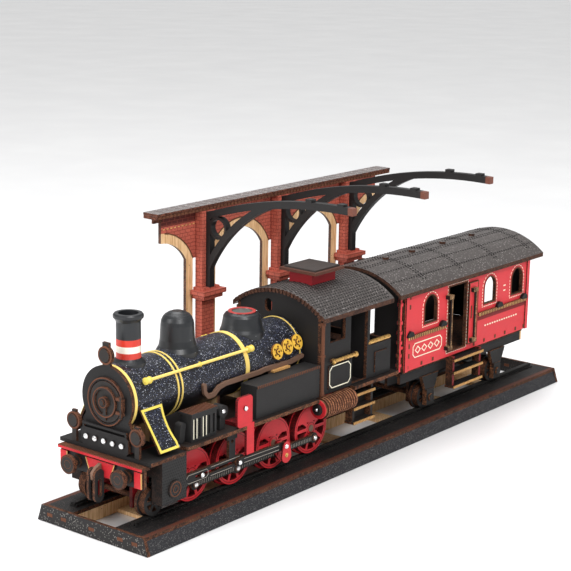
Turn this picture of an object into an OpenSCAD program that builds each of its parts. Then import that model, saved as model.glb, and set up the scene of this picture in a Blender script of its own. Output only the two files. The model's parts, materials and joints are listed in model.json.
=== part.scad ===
// Laser-cut plywood model of a tank locomotive with one carriage, standing on a
// length of track below a cantilevered station canopy.
// X runs along the track (the locomotive faces -X), -Y is the open side, +Z is up.
// The origin is the middle of the track base, on the face that it stands on.

/* [Track base] */
// Length of the track base
base_l = 400; // [380:1:430]
// Width of the base where it stands
base_w = 78; // [76:1:80]
// Height of the deck above the table
base_h = 9; // [8:0.5:9]
// Thickness of the plywood sheet
ply = 2; // [1.8:0.1:2]
// Distance of each rail from the track's centre line
rail_y = 21; // [20.8:0.1:21.2]
// Height of the rail above the deck
rail_h = 2.5; // [2:0.1:2.5]

/* [Wheels and motion] */
// Radius of a driving wheel's tread
driver_r = 14.3; // [13.8:0.1:14.5]
// Distance between the driving axles
driver_pitch = 33.2; // [32.6:0.1:33.6]
// Radius of the small wheels' tread
small_r = 7.3; // [7:0.1:7.5]
// Radius of the crank's throw
crank_r = 5; // [4:0.1:5.2]
// Radius of a driving axle
axle_r = 2; // [1.6:0.1:2.2]
// Running clearance of an axle or a pin, on the radius
fit = 0.06; // [0.03:0.01:0.1]

/* [Boiler] */
// Outer radius of the boiler
boiler_r = 17; // [16.5:0.1:17.2]
// Height of the boiler's axis
boiler_z = 70; // [70:0.5:71]

/* [Bodywork] */
// Width of the cab, carriage and footplate over their walls
body_w = 60; // [58:1:60]
// Width of the roofs
roof_w = 66; // [66:1:68]
// Rise of the curved roofs
roof_rise = 12; // [11:0.5:13]
// Height of the roofs' eaves
eaves_z = 91; // [91:0.5:92]

/* [Station] */
// Distance between the canopy's columns
column_pitch = 67; // [65:1:68]
// Height of the underside of the canopy's board
board_z = 144; // [144:0.5:146]
// Length of the canopy's board
board_l = 217; // [214:1:220]

/* [Hidden] */
$fn = 48;
eps = 0.01;
// glue line between sheets that stay separate solids
glue = 0.05;
deck_half = base_w / 2 - 3;
gap_half = 15;
rail_top = base_h + rail_h;
lift = 0.2;
driver_z = rail_top + lift + driver_r;
small_z = rail_top + lift + small_r;
driver_x = -84.1;
driver_xs = [for (i = [-2:1]) driver_x + i * driver_pitch];
leading_x = -178.6;
carriage_axles = [62, 139];
tread_in = 19.4;
tread_out = 23.2;
flange_in = 17.4;
flange_h = 1.1;
rod_y = 24;
rod_t = 1.8;
crank_y = 26;
crank_t = 1.6;
guide_y = 27.9;
guide_t = 1.8;
frame_in = 12;
frame_top = 44;
board_top = frame_top + ply;
smokebox_x = -186;
cab_x = -50;
cab_rear = 15;
carriage_x0 = 29;
carriage_x1 = 170;
carriage_z = 42;
bay_half = 21;
bay_spring = 117;
bay_rise = 12;
wall_half = 100;
wall_y = 45;
column_y = 39.5;
column_w = 10.5;
column_d = 5;
leg_h = 3;

BLACK = "#262321";
CHAR = "#3a3533";
RED = "#b5262c";
CORAL = "#d8434a";
BRICK = "#8f4436";
PALE = "#e2b27e";
BROWN = "#5a3324";
GOLD = "#e6c04a";
GREY = "#4d4a4a";

// ---- shared building blocks ----

// A sheet lying in the XZ plane, from y0 to y0 + t
module side_sheet(y0, t = ply) {
    translate([0, y0 + t, 0]) rotate([90, 0, 0]) linear_extrude(t) children();
}

// A sheet lying in the YZ plane, from x0 to x0 + t, drawn with Y across and Z up
module cross_sheet(x0, t = ply) {
    translate([x0, 0, 0]) rotate([90, 0, 90]) linear_extrude(t) children();
}

// The same piece on both sides of the track's centre line
module both_sides() {
    children();
    mirror([0, 1, 0]) children();
}

// A round bar along X
module bar_x(x0, x1, y, z, r) {
    translate([x0, y, z]) rotate([0, 90, 0]) cylinder(h = x1 - x0, r = r);
}

// A round bar along Y
module bar_y(x, y0, y1, z, r) {
    translate([x, y1, z]) rotate([90, 0, 0]) cylinder(h = y1 - y0, r = r);
}

// A flat strip of width w along a list of points, with round corners
module stroke(points, w) {
    for (p = points)
        translate(p) circle(d = w * 1.01);
    for (i = [0:len(points) - 2]) {
        d = points[i + 1] - points[i];
        translate(points[i]) rotate(atan2(d[1], d[0])) translate([0, -w / 2]) square([norm(d), w]);
    }
}

// A rectangle with cut corners, from (x0, z0) to (x1, z1)
module cut_corner_panel(x0, z0, x1, z1, c) {
    polygon([[x0 + c, z0], [x1 - c, z0], [x1, z0 + c], [x1, z1 - c],
             [x1 - c, z1], [x0 + c, z1], [x0, z1 - c], [x0, z0 + c]]);
}

// An upright opening with a round head, w wide, from z0 to z1
module arched_opening(x, z0, w, z1) {
    translate([x - w / 2, z0]) square([w, z1 - z0 - w / 2]);
    translate([x, z1 - w / 2]) circle(d = w);
}

// ---- track base ----

module ballast_sides() color(GREY) both_sides()
    cross_sheet(-base_l / 2 + ply, base_l - 2 * ply)
        polygon([[base_w / 2, 0], [deck_half, base_h - ply], [deck_half - 2.2, base_h - ply], [base_w / 2 - 2.2, 0]]);

module deck_plates() color(BROWN) both_sides()
    translate([-base_l / 2 + ply, gap_half, base_h - ply])
        cube([base_l - 2 * ply, deck_half - gap_half, ply]);

// Bare inner walls below the decks, and the cross bearers that tie them together
module track_bearers() color(PALE) {
    both_sides()
        translate([-base_l / 2 + ply, gap_half, 0]) cube([base_l - 2 * ply, ply, base_h - ply]);
    for (x = [-160 : 53.333 : 160.5])
        translate([x - 6, -gap_half, 0]) cube([12, 2 * gap_half, ply]);
}

module base_end(x0) cross_sheet(x0) difference() {
    polygon([[-base_w / 2, 0], [base_w / 2, 0], [deck_half, base_h], [-deck_half, base_h]]);
    for (y = [-30, -20, 0, 20, 30])
        translate([y - 2, 3.5]) square([4, ply]);
}

// The sloping ends close the base, with slots for the bearers' tabs
module base_ends() color(CHAR) {
    base_end(-base_l / 2);
    base_end(base_l / 2 - ply);
}

rail_len = base_l - 16;
chair_pitch = 12;

module rails() color(BLACK) both_sides() translate([-rail_len / 2, 0, base_h]) {
    translate([0, rail_y - 2.4, 0]) cube([rail_len, 4.8, 0.8]);
    translate([0, rail_y - 0.7, 0.8]) cube([rail_len, 1.4, rail_h - 0.8]);
    translate([0, rail_y - 1.3, rail_h - 0.9]) cube([rail_len, 2.6, 0.9]);
    for (i = [0:floor(rail_len / chair_pitch) - 1])
        translate([4 + i * chair_pitch, rail_y - 2.4, 0.8]) cube([2.4, 4.8, 0.5]);
}

// ---- station ----

module column(x) {
    translate([x - column_w / 2, column_y, 0]) cube([column_w, column_d, board_z]);
    // foot that laps onto the deck
    translate([x - 8, deck_half - 4, base_h]) cube([16, column_y - deck_half + 4, ply]);
    // stepped cap
    translate([x - 8, column_y - 4, 94]) cube([16, column_d + 4, 2.5]);
    translate([x - 9.5, column_y - 5.5, 96.5]) cube([19, column_d + 5.5, 2.5]);
    translate([x - 7, column_y - 2.5, 99]) cube([14, column_d + 2.5, 1.5]);
}

module station_columns() color(BRICK)
    for (i = [-1:1]) column(i * column_pitch);

// Bay outline between two columns: straight jambs below a segmental arch
module bay(xc, half, rise) {
    r = (half * half + rise * rise) / (2 * rise);
    translate([xc - half, 0]) square([2 * half, bay_spring]);
    intersection() {
        translate([xc, bay_spring + rise - r]) circle(r);
        translate([xc - half, bay_spring - eps]) square([2 * half, rise + 1]);
    }
}

bay_centres = [-1.5 * column_pitch, -column_pitch / 2, column_pitch / 2, 1.5 * column_pitch];
trim_w = 5.6;

module bays(grow) {
    for (xc = bay_centres) bay(xc, bay_half + grow, bay_rise + grow);
}

module wall_outline(z0)
    translate([-wall_half, z0]) square([2 * wall_half, board_z - z0]);

module station_wall() color(BRICK)
    side_sheet(wall_y) difference() {
        wall_outline(bay_spring);
        bays(trim_w);
    }

module arch_trims() color(PALE)
    side_sheet(wall_y) intersection() {
        wall_outline(0);
        difference() {
            bays(trim_w);
            bays(0);
        }
    }

arm_r = 267.5;
arm_c = [-50, -109];
arm_tip = -61.5;
arm_t = 4;
brace_r = 84;
brace_c = [-38, 73];

// Outline of one cantilever arm, drawn with Y across and Z up
module arm_outline() {
    // long bowed top chord
    intersection() {
        translate(arm_c) difference() {
            circle(arm_r, $fn = 180);
            circle(arm_r - 4, $fn = 180);
        }
        translate([arm_tip, 130]) square([column_y - arm_tip + 3, 40]);
    }
    // leg on the column's face
    translate([column_y - leg_h, 100.5]) square([leg_h, 43]);
    // curved brace from the leg up to the chord
    intersection() {
        translate(brace_c) difference() {
            circle(brace_r + 3.6, $fn = 120);
            circle(brace_r - 0.2, $fn = 120);
        }
        translate([-6, 100.5]) square([column_y + 6, 52]);
    }
    // two pegs on the chord's top edge
    for (y = [arm_tip + 6, arm_tip + 27])
        translate([y, 157]) square([4, 2.6]);
}

module canopy_arm(x) cross_sheet(x - arm_t / 2, arm_t) {
    difference() {
        arm_outline();
        translate([column_y, 90]) square([20, 80]);
    }
    translate([31, 135]) difference() {
        circle(6.4);
        circle(4.9);
    }
}

module canopy_arms() color(BLACK)
    for (i = [-1:1]) canopy_arm(i * column_pitch);

// Board over the wall, made of short planks that leave fine joints
module canopy_board() color(GREY) {
    translate([-board_l / 2, 40, board_z]) cube([board_l, 10, 2]);
    plank = board_l / 31;
    for (i = [0:30])
        translate([-board_l / 2 + i * plank + 0.25, 39.6, board_z + 2]) cube([plank - 0.5, 10.8, 1.2]);
    translate([-board_l / 2 + 1, 43.5, board_z - 2.5]) cube([7, 1.4, 2.5]);
}

module round_sign() color(PALE) {
    side_sheet(36) translate([column_pitch + 10, 84]) circle(9.5);
    side_sheet(38, 1.5) translate([column_pitch - 4, 82]) square([18, 5]);
}

// ---- locomotive chassis ----

module axle_hole(x, z, r) translate([x, z]) circle(r + fit);

module loco_frame() color(RED) {
    both_sides() side_sheet(frame_in) difference() {
        union() {
            translate([-188, 29]) square([202, frame_top - 29]);
            translate([leading_x - 6, small_z - 4]) square([12, 16]);
            for (x = driver_xs)
                translate([x - 6, driver_z - 5]) square([12, 10]);
        }
        for (x = driver_xs) axle_hole(x, driver_z, axle_r);
        axle_hole(leading_x, small_z, 1.5);
        for (i = [0:2])
            translate([driver_xs[i] + 11, 32]) square([11, 7]);
    }
    for (x = [-168, -134, -101, -67.5, -20, 8])
        translate([x, glue - frame_in, 33]) cube([ply, 2 * (frame_in - glue), 9]);
}

module footplate() color(BROWN) difference() {
    translate([-164, -33, frame_top]) cube([cab_rear + 5 + 164, 66, ply]);
    // slots for the motion brackets' legs, and recesses over the air reservoirs
    both_sides() translate([-118, 31, frame_top - 1]) cube([6, 3, 4]);
    both_sides() translate([-56, 25.2, frame_top - 1]) cube([33, 9, 4]);
}

module front_platform() color(BLACK) {
    difference() {
        translate([-190, -32, 42]) cube([26, 64, ply]);
        both_sides() translate([-188.2, frame_in - 0.2, 41]) cube([26, ply + 0.4, 4]);
    }
    // upright plate with its row of bolts
    cross_sheet(-190) cut_corner_panel(-16.5, 44, 16.5, 53.5, 1.5);
    for (i = [-2:2])
        bar_x(-190.9, -190, i * 6.2, 48.8, 1.1);
    // grab rail over the plate
    both_sides() translate([-190, 14.2, 53.5]) cube([1.2, 1.2, 1.4]);
    translate([-190.2, -15.4, 54.9]) cube([1.6, 30.8, 1.2]);
}

module buffer_beam() color(RED) {
    cross_sheet(-192) translate([-29, 30]) square([58, 10]);
    cross_sheet(-193.2, 1.2) polygon([[-10, 39], [10, 39], [7, 31], [-7, 31]]);
    both_sides() cross_sheet(-193.2, 1.2) translate([23.5, 30.5]) square([5, 8.5]);
    translate([-194, -29.5, 40]) cube([6, 59, 1.6]);
}

module buffer(y) {
    bar_x(-197, -192, y, 34.5, 2.2);
    bar_x(-199, -197, y, 34.5, 5);
    bar_x(-193.6, -192, y, 34.5, 3.6);
}

module buffers() color(CHAR) both_sides() buffer(17.5);

link_pin = [-196.6, 33];

// Drawhook: a plate on the beam with an eye for the link's pin
module coupling_hook() color(BROWN) {
    translate([-193.2, 0, 0]) side_sheet(-1, 2) difference() {
        polygon([[0, 29.5], [0, 38], [-3.5, 36.5], [-6.2, 34], [-5.8, 30.5], [-3, 29.5]]);
        translate([link_pin[0] + 193.2, link_pin[1]]) circle(1 + fit);
    }
}

// Oval link hanging from the hook, with its cross pin
module coupling_link() color(CHAR) {
    bar_y(link_pin[0], -3.2, 3.2, link_pin[1], 1);
    both_sides() side_sheet(1.3, 1.6) difference() {
        stroke([link_pin, [link_pin[0], 22]], 6.5);
        stroke([[link_pin[0], 29.6], [link_pin[0], 23]], 3.2);
    }
    bar_y(link_pin[0], -1.3, 1.3, 20.3, 0.9);
}

module cylinder_blocks() color(CHAR) both_sides() {
    difference() {
        union() {
            translate([-182, 24.8, 19.5]) cube([18, 7.2, 22.5]);
            translate([-182, frame_in + ply, 33]) cube([15.8, 18, 9]);
        }
        translate([-184, 23.8, 14]) cube([22, 1, 15]);
    }
    bar_y(-173, 32, 32.8, 26.5, 4.6);
    bar_x(-164, -162.5, 28.6, driver_z, 3);
}

module slotted_bar(points, w) difference() {
    stroke(points, w);
    stroke([points[0] + [5, 0], points[len(points) - 1] - [5, 0]], w - 4.4);
}

// Guide bar, main rod and hanging link, held still by the bracket and the axle's outer pin
module slide_bars() color(BLACK) both_sides() {
    side_sheet(guide_y, guide_t) {
        slotted_bar([[-159, driver_z + 1], [-119, driver_z + 1]], 6);
        difference() {
            stroke([[-126, driver_z + 4], [-126, frame_top - 3]], 5);
            translate([-126, frame_top - 5]) circle(1);
        }
        translate([-130, frame_top - 4]) square([8, 4]);
    }
    side_sheet(guide_y + guide_t, 1.5) difference() {
        stroke([[-122, driver_z + 0.6], [driver_x, driver_z]], 4.4);
        translate([driver_x, driver_z]) circle(1.2 + fit);
    }
    bar_y(-150, guide_y + guide_t, guide_y + guide_t + 0.8, driver_z + 1, 1.5);
    bar_y(-122, guide_y + guide_t + 1.5, guide_y + guide_t + 2.3, driver_z + 0.6, 1.5);
}

module motion_brackets() color(RED) both_sides() {
    side_sheet(31.2, 1.6) {
        cut_corner_panel(-125.5, board_top, -113.5, 62.5, 1.5);
        translate([-118, 30]) square([6, 17]);
    }
    translate([-123, 22, board_top]) cube([8, 9.2, ply]);
    bar_y(-119.5, 32.8, 33.6, 56, 1.3);
}

module lamp_disc(y, z, r) {
    bar_x(-190, -188.1, y, z, r);
    bar_x(-190.8, -190, y, z, r - 1.4);
}

module head_lamps() color(BLACK) {
    both_sides() {
        lamp_disc(22, 55, 4.6);
        translate([-189.6, 20.5, 44]) cube([1.6, 3, 7.5]);
        translate([-189.6, 20.6, 59]) cube([1.6, 2.8, 1.6]);
    }
    translate([1, 0, 0]) {
        lamp_disc(0, 93, 4.8);
        translate([-189.2, -2.6, boiler_z + boiler_r + 0.42]) cube([1.6, 5.2, 2]);
        translate([-189.6, -2.2, 97]) cube([1.6, 4.4, 2.6]);
    }
}

// ---- wheels, axles and rods ----

// Spoked wheel for the +Y side, centred on the Y axis
module spoked_wheel(r, bore, spokes, weight) {
    side_sheet(tread_in, tread_out - tread_in) difference() {
        circle(r, $fn = 64);
        difference() {
            circle(r - 2.2, $fn = 64);
            circle(r * 0.3);
            for (i = [0:spokes - 1])
                rotate(i * 360 / spokes) translate([0, -0.9]) square([r - 1, 1.8]);
            if (weight)
                intersection() {
                    circle(r - 1, $fn = 64);
                    translate([-r, r * 0.28]) square([2 * r, r]);
                }
        }
        circle(bore);
    }
    side_sheet(flange_in, tread_in - flange_in) difference() {
        circle(r + flange_h, $fn = 64);
        circle(bore);
        for (i = [0:spokes - 1])
            rotate((i + 0.5) * 360 / spokes) translate([r * 0.62, 0]) circle(r * 0.15);
    }
}

module wheel_pair(x, z, r, bore, spokes, weight) color(RED) both_sides()
    translate([x, 0, z]) spoked_wheel(r, bore, spokes, weight);

// Axle of a driving pair, with a crank pin on each outer face
module driving_axle(i) color(BROWN) {
    x = driver_xs[i];
    pin_end = i == 2 ? crank_y + crank_t : rod_y + rod_t;
    bar_y(x, -tread_out - 0.4, tread_out + 0.4, driver_z, axle_r);
    both_sides() {
        bar_y(x, tread_out, pin_end, driver_z - crank_r, 1.2);
        if (i != 2)
            bar_y(x, rod_y + rod_t + 0.05, rod_y + rod_t + 0.9, driver_z - crank_r, 1.7);
        bar_y(x, rod_y + rod_t, rod_y + rod_t + 0.05, driver_z - crank_r, 1.2);
    }
}

module driving_wheels(i) wheel_pair(driver_xs[i], driver_z, driver_r, axle_r, 10, true);
module driving_wheels_1() driving_wheels(0);
module driving_wheels_2() driving_wheels(1);
module driving_wheels_3() driving_wheels(2);
module driving_wheels_4() driving_wheels(3);
module driving_axle_1() driving_axle(0);
module driving_axle_2() driving_axle(1);
module driving_axle_3() driving_axle(2);
module driving_axle_4() driving_axle(3);

// Return cranks: a lozenge from the third crank pin back to the axle's own line
module return_cranks() color(RED) both_sides() {
    side_sheet(crank_y, crank_t) translate([driver_x, driver_z]) difference() {
        polygon([[-3.6, -crank_r + 0.5], [0, -crank_r - 4], [3.6, -crank_r + 0.5], [2, 2], [-2, 2]]);
        translate([0, -crank_r]) circle(1.2);
    }
    bar_y(driver_x, crank_y + crank_t, guide_y + guide_t + 1.5, driver_z, 1.2);
    bar_y(driver_x, guide_y + guide_t + 1.55, guide_y + guide_t + 2.3, driver_z, 1.7);
    bar_y(driver_x, guide_y + guide_t + 1.5, guide_y + guide_t + 1.55, driver_z, 1.2);
    bar_y(driver_x, crank_y + crank_t, crank_y + crank_t + 0.4, driver_z - crank_r, 1.8);
}

rod_eye = 3;

module coupling_rod() side_sheet(rod_y, rod_t) difference() {
    z = driver_z - crank_r;
    union() {
        for (x = driver_xs) translate([x, z]) circle(rod_eye);
        translate([driver_xs[0], z - 1.7]) square([3 * driver_pitch, 3.4]);
    }
    for (x = driver_xs) translate([x, z]) circle(1.2 + fit);
}

module coupling_rod_near() color(BLACK) mirror([0, 1, 0]) coupling_rod();
module coupling_rod_far() color(BLACK) coupling_rod();

// Plain small wheels on one axle
module small_wheelset(x, spokes) {
    color(CHAR) both_sides() translate([x, 0, small_z]) {
        spoked_wheel(small_r, 1.5, spokes, false);
        bar_y(0, tread_out + 0.4, tread_out + 1.2, 0, 1.5);
    }
    color(BROWN) bar_y(x, -tread_out - 0.4, tread_out + 0.4, small_z, 1.5);
}

module leading_wheelset() small_wheelset(leading_x, 6);

// ---- boiler ----

module boiler_bar(x0, x1, r) bar_x(x0, x1, 0, boiler_z, r);

module boiler_barrel() color(BLACK) difference() {
    boiler_bar(smokebox_x, cab_x - ply, boiler_r);
    boiler_bar(smokebox_x - 1, cab_x + 1, boiler_r - 1.6);
}

former_xs = [smokebox_x, -160, -132, -104, -76, cab_x - 2 * ply - 0.5];

// Round formers that carry the bent skin, and the saddle that lifts them off the frame
module boiler_formers() color(PALE) {
    for (x = former_xs)
        difference() {
            boiler_bar(x, x + ply, boiler_r - 1.6);
            boiler_bar(x - 1, x + ply + 1, 5);
        }
    for (x = [-181, -170, -118, -84, -58])
        cross_sheet(x) difference() {
            translate([-12, board_top]) square([24, 14]);
            translate([0, boiler_z]) circle(boiler_r);
        }
}

module smokebox_front() color(BLACK) {
    cross_sheet(smokebox_x - ply) {
        translate([0, boiler_z]) circle(boiler_r + 0.4);
        polygon([[-14, 62], [14, 62], [19, 53.5], [19, 46], [-19, 46], [-19, 53.5]]);
    }
    cross_sheet(smokebox_x - ply - 1, 1) translate([0, boiler_z - 1]) difference() {
        circle(12.6);
        circle(11.2);
    }
}

door_z = boiler_z - 1;
door_face = smokebox_x - ply;

// Round door with a raised ring, two strap hinges on their pin, and a handle on the hub
module smokebox_door() color(CHAR) {
    cross_sheet(door_face - 1, 1) translate([0, door_z]) circle(10.6);
    cross_sheet(door_face - 2, 1) translate([0, door_z]) difference() {
        circle(8);
        circle(6.6);
    }
    bar_x(door_face - 3, door_face - 1, 0, door_z, 3);
    bar_x(door_face - 4, door_face - 3, 0, door_z, 1.4);
    cross_sheet(door_face - 2, 1) translate([-1, door_z - 9.4]) square([2, 6.6]);
    for (z = [door_z + 2.6, door_z - 4.6])
        translate([door_face - 2, -13.4, z]) cube([1, 5.4, 1.6]);
    translate([door_face - 2.7, -12.4, door_z - 6]) cylinder(h = 11.5, r = 0.7);
}

module ring_band(x0, w) difference() {
    boiler_bar(x0, x0 + w, boiler_r + 0.35);
    boiler_bar(x0 - 1, x0 + w + 1, boiler_r);
}

module boiler_bands() color(GOLD) {
    ring_band(smokebox_x + 0.4, 1.8);
    ring_band(-154, 1);
    ring_band(-151, 1);
    ring_band(-100.5, 3);
    ring_band(-54.6, 0.7);
}

chimney_x = -172.3;

// Profile of revolution about a vertical line at x, trimmed to sit on the boiler
module on_boiler(x) difference() {
    translate([x, 0, 0]) rotate_extrude($fn = 64) children();
    boiler_bar(smokebox_x - 10, cab_x, boiler_r);
}

module chimney() color(BLACK) on_boiler(chimney_x)
    difference() {
        polygon([[0, 80], [9, 80], [8.7, 86.6], [7.4, 87.8], [6.4, 89], [6.3, 107.5], [7.2, 109],
                 [7.8, 109.6], [7.8, 111], [7.2, 111.8], [0, 111.8]]);
        translate([0, 101]) square([5.2, 20]);
    }

module boiler_domes() color(BLACK) {
    on_boiler(-136)
        polygon([[0, 78], [11.4, 78], [11.2, 85.2], [9.8, 87.6], [9.2, 91], [8.8, 99], [8.5, 101],
                 [7.6, 103], [6.6, 104.2], [6.2, 104.2], [5, 105.2], [4.6, 105.2], [3, 106], [0, 106]]);
    on_boiler(-84)
        polygon([[0, 78], [12.4, 78], [12.2, 85.5], [11.4, 87.4], [10.8, 90], [10.2, 93.6], [9.2, 95],
                 [7.8, 95.6], [7.6, 96.4], [5.8, 96.4], [5.6, 95.8], [0, 95.8]]);
}

rail_ang = 57.5;
rail_radius = boiler_r + 2;

// Point on the side of the boiler, at an angle from straight up
function around(ang, r) = [r * sin(ang), boiler_z + r * cos(ang)];

module boiler_stud(x, ang, r0, r1, r)
    translate([x, 0, boiler_z]) rotate([-ang, 0, 0]) translate([0, 0, r0]) cylinder(h = r1 - r0, r = r);

module clear_of_boiler() difference() {
    children();
    boiler_bar(smokebox_x, cab_x, boiler_r);
}

module boiler_handrails() color(GOLD) both_sides() clear_of_boiler() {
    p = around(rail_ang, rail_radius);
    bar_x(-175, -96, p[0], p[1], 0.8);
    for (x = [-176.6, -97.4])
        bar_x(x, x + 3, p[0], p[1], 1.5);
    for (x = [-175.2, -136, -96])
        boiler_stud(x, rail_ang, boiler_r - 0.4, rail_radius, 0.8);
}

// Three hand wheels on the boiler's shoulder by the cab
module valve_wheels() color(GOLD) both_sides() clear_of_boiler()
    for (v = [[-75, 76], [-66, 73], [-57.3, 70]])
        difference() {
            union() {
                boiler_stud(v[0], v[1], boiler_r + 0.6, boiler_r + 1.8, 4.3);
                boiler_stud(v[0], v[1], boiler_r - 0.4, boiler_r + 2.6, 1.4);
            }
            for (i = [0:4])
                translate([v[0], 0, boiler_z]) rotate([-v[1], 0, 0]) rotate([0, 0, i * 72])
                    translate([2.7, 0, boiler_r]) cylinder(h = 4, r = 0.65);
        }

// Bent feed pipe along the boiler's flank
module feed_pipes() color(BROWN) both_sides()
    side_sheet(boiler_r + 0.4, 1.6) {
        stroke([[-135.5, 69], [-135, 65], [-132.5, 62.5], [-128, 62.5], [-124, 65.5], [-119, 66.5],
                [-90, 66.5], [-86, 67], [-64, 66.6], [-54, 68]], 2.4);
        translate([-82, 61.5]) square([14, 4.4]);
    }

cover_top = [17.4, 69];
cover_foot = [30.5, board_top];

// Slanting cover plates from the boiler down to the platform, hollowed on the rear edge
module steam_pipe_covers() color(BLACK) both_sides() clear_of_boiler() {
    run = cover_foot - cover_top;
    len_down = norm(run);
    translate([-183, cover_top[0], cover_top[1]])
        rotate([90 + atan2(run[0], -run[1]), 0, 0]) mirror([0, 1, 0]) linear_extrude(1.4)
            difference() {
                polygon([[0, 0], [15.4, 0], [16.2, len_down - 0.5], [2, len_down - 0.5]]);
                translate([15.4 + 30, len_down * 0.45]) circle(31.6, $fn = 96);
            }
}

// Finned air pump on each footplate, with its curved pipe
module air_pumps() color(CHAR) both_sides() {
    difference() {
        translate([-158, 22, board_top]) cube([19, 8, 14]);
        for (i = [0:4])
            translate([-156.4 + i * 3.6, 29, board_top + 2]) cube([1.6, 2, 10]);
    }
    translate([-158.6, 21.4, board_top + 14]) cube([20.2, 9.2, 1.2]);
    color(RED) side_sheet(23, 4) stroke([[-162, board_top + 2.1], [-161, board_top + 9]], 4);
    bar_y(-131, 22, 28, 56, 3.4);
    translate([-133, 22, board_top]) cube([4, 5, 8]);
}

// ---- cab ----

module side_tanks() color(CHAR) both_sides() {
    difference() {
        translate([-107, 19, board_top]) cube([57 - ply - 0.5, 11, 17]);
        translate([-107 + ply, 19 + ply, board_top + ply]) cube([57 - 3 * ply - 0.5, 11 - 2 * ply, 13]);
    }
    translate([-107, 19, board_top + 17]) cube([54.5, 11.6, 1.2]);
}

roof_r = (roof_w * roof_w / 4 + roof_rise * roof_rise) / (2 * roof_rise);
roof_c = eaves_z + roof_rise - roof_r;

// Everything below the curve of a roof's underside
module under_roof(z0) intersection() {
    translate([0, roof_c]) circle(roof_r - ply, $fn = 120);
    translate([-body_w / 2, z0]) square([body_w, 80]);
}

// Curved roof sheet, drawn with Y across and Z up
module roof_curve() intersection() {
    translate([0, roof_c]) difference() {
        circle(roof_r, $fn = 120);
        circle(roof_r - ply, $fn = 120);
    }
    translate([-roof_w / 2, eaves_z - 3]) square([roof_w, 40]);
}

eaves_under = roof_c + sqrt(pow(roof_r - ply, 2) - pow(body_w / 2, 2)) - 0.3;

// Side sheets, front and rear sheets with their windows, and the coal bunker
module cab_walls() color(BLACK) {
    both_sides() side_sheet(body_w / 2 - ply) difference() {
        union() {
            translate([cab_x, board_top]) square([44, eaves_under - board_top]);
            translate([-6 - eps, board_top]) square([cab_rear + 6, 20]);
        }
        translate([-43.5, 75]) square([14, 13.5]);
        translate([-24.3, 64]) square([16, 23]);
        translate([-22.5, board_top + 1]) square([14, 18.5]);
    }
    cross_sheet(cab_x - ply) difference() {
        under_roof(board_top);
        both_sides() stroke([[7.6, 91], [7.6, 93.4]], 5.2);
        both_sides() translate([15.8, 77]) square([8.6, 10.5]);
    }
    cross_sheet(-8) difference() {
        under_roof(board_top);
        translate([-11, board_top + 20]) square([22, 18]);
        both_sides() translate([18, board_top + 28]) square([6, 12]);
        both_sides() translate([body_w / 2 - ply - eps, 0]) square([10, 200]);
    }
    translate([cab_rear - ply, -body_w / 2 + ply, board_top]) cube([ply, body_w - 2 * ply, 20]);
    translate([-6, -body_w / 2 + ply, board_top + 15]) cube([cab_rear + 4, body_w - 2 * ply, 1.5]);
    both_sides() {
        translate([-45, body_w / 2, 48.5]) cube([20.5, 0.8, 13.5]);
        bar_x(-42, -22, body_w / 2 + 1.6, 64.5, 0.9);
        for (x = [-42, -22]) bar_y(x, body_w / 2, body_w / 2 + 1.6, 64.5, 1.4);
        bar_x(-7, cab_rear, body_w / 2 - 1, board_top + 21.4, 1.1);
        translate([-1, body_w / 2, board_top + 3]) cube([12, 0.8, 12]);
    }
}

// Arched roof with a toothed front edge
module cab_roof() color(GREY) {
    cross_sheet(cab_x - 3, 66) roof_curve();
    for (a = [-36 : 3 : 36])
        translate([cab_x - 3.8, 0, roof_c]) rotate([-a, 0, 0])
            translate([0, -0.8, roof_r - ply - 0.4]) cube([0.8, 1.6, ply + 0.4]);
}

module roof_ventilator() color(RED) {
    difference() {
        translate([-33, -8, roof_c + roof_r - 2]) cube([22, 16, 8]);
        translate([-33 + ply, -8 + ply, roof_c + roof_r - 3]) cube([22 - 2 * ply, 16 - 2 * ply, 10]);
        bar_x(-40, 0, 0, roof_c, roof_r);
    }
    translate([-36, -13, roof_c + roof_r + 6]) cube([27, 26, 1.6]);
    translate([-34, -11, roof_c + roof_r + 7.6]) cube([23, 22, 1]);
}

// Ringed air reservoir under each footplate, behind the driving wheels' tops
module air_reservoirs() color(BROWN) both_sides() {
    for (i = [0:12])
        bar_x(-53 + i * 2.1, -53 + i * 2.1 + 1.3, 31.4, 39.7, 6);
    bar_x(-54.5, -25, 31.4, 39.7, 5.1);
    bar_x(-55.3, -54.5, 31.4, 39.7, 3.6);
    for (x = [-50, -32])
        translate([x, 20, 42.6]) cube([3, 9, 1.4]);
}

module step_ladder(x0, x1, y, treads, top) {
    for (x = [x0, x1 - ply])
        translate([x, y - 1.6, treads[len(treads) - 1]]) cube([ply, 5, top - treads[len(treads) - 1]]);
    for (z = treads)
        translate([x0 - 0.6, y - 1.6, z]) cube([x1 - x0 + 1.2, 6.4, 1.4]);
}

module cab_steps() color(BROWN) both_sides() {
    step_ladder(-21.5, -2, 27, [39, 31, 22.5], frame_top);
    translate([-19, 25.4, 22.6]) cube([14, 1.4, 21.4]);
}

// ---- carriage ----

sole_z = carriage_z - 4;
platform_z = carriage_z - 2;

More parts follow.
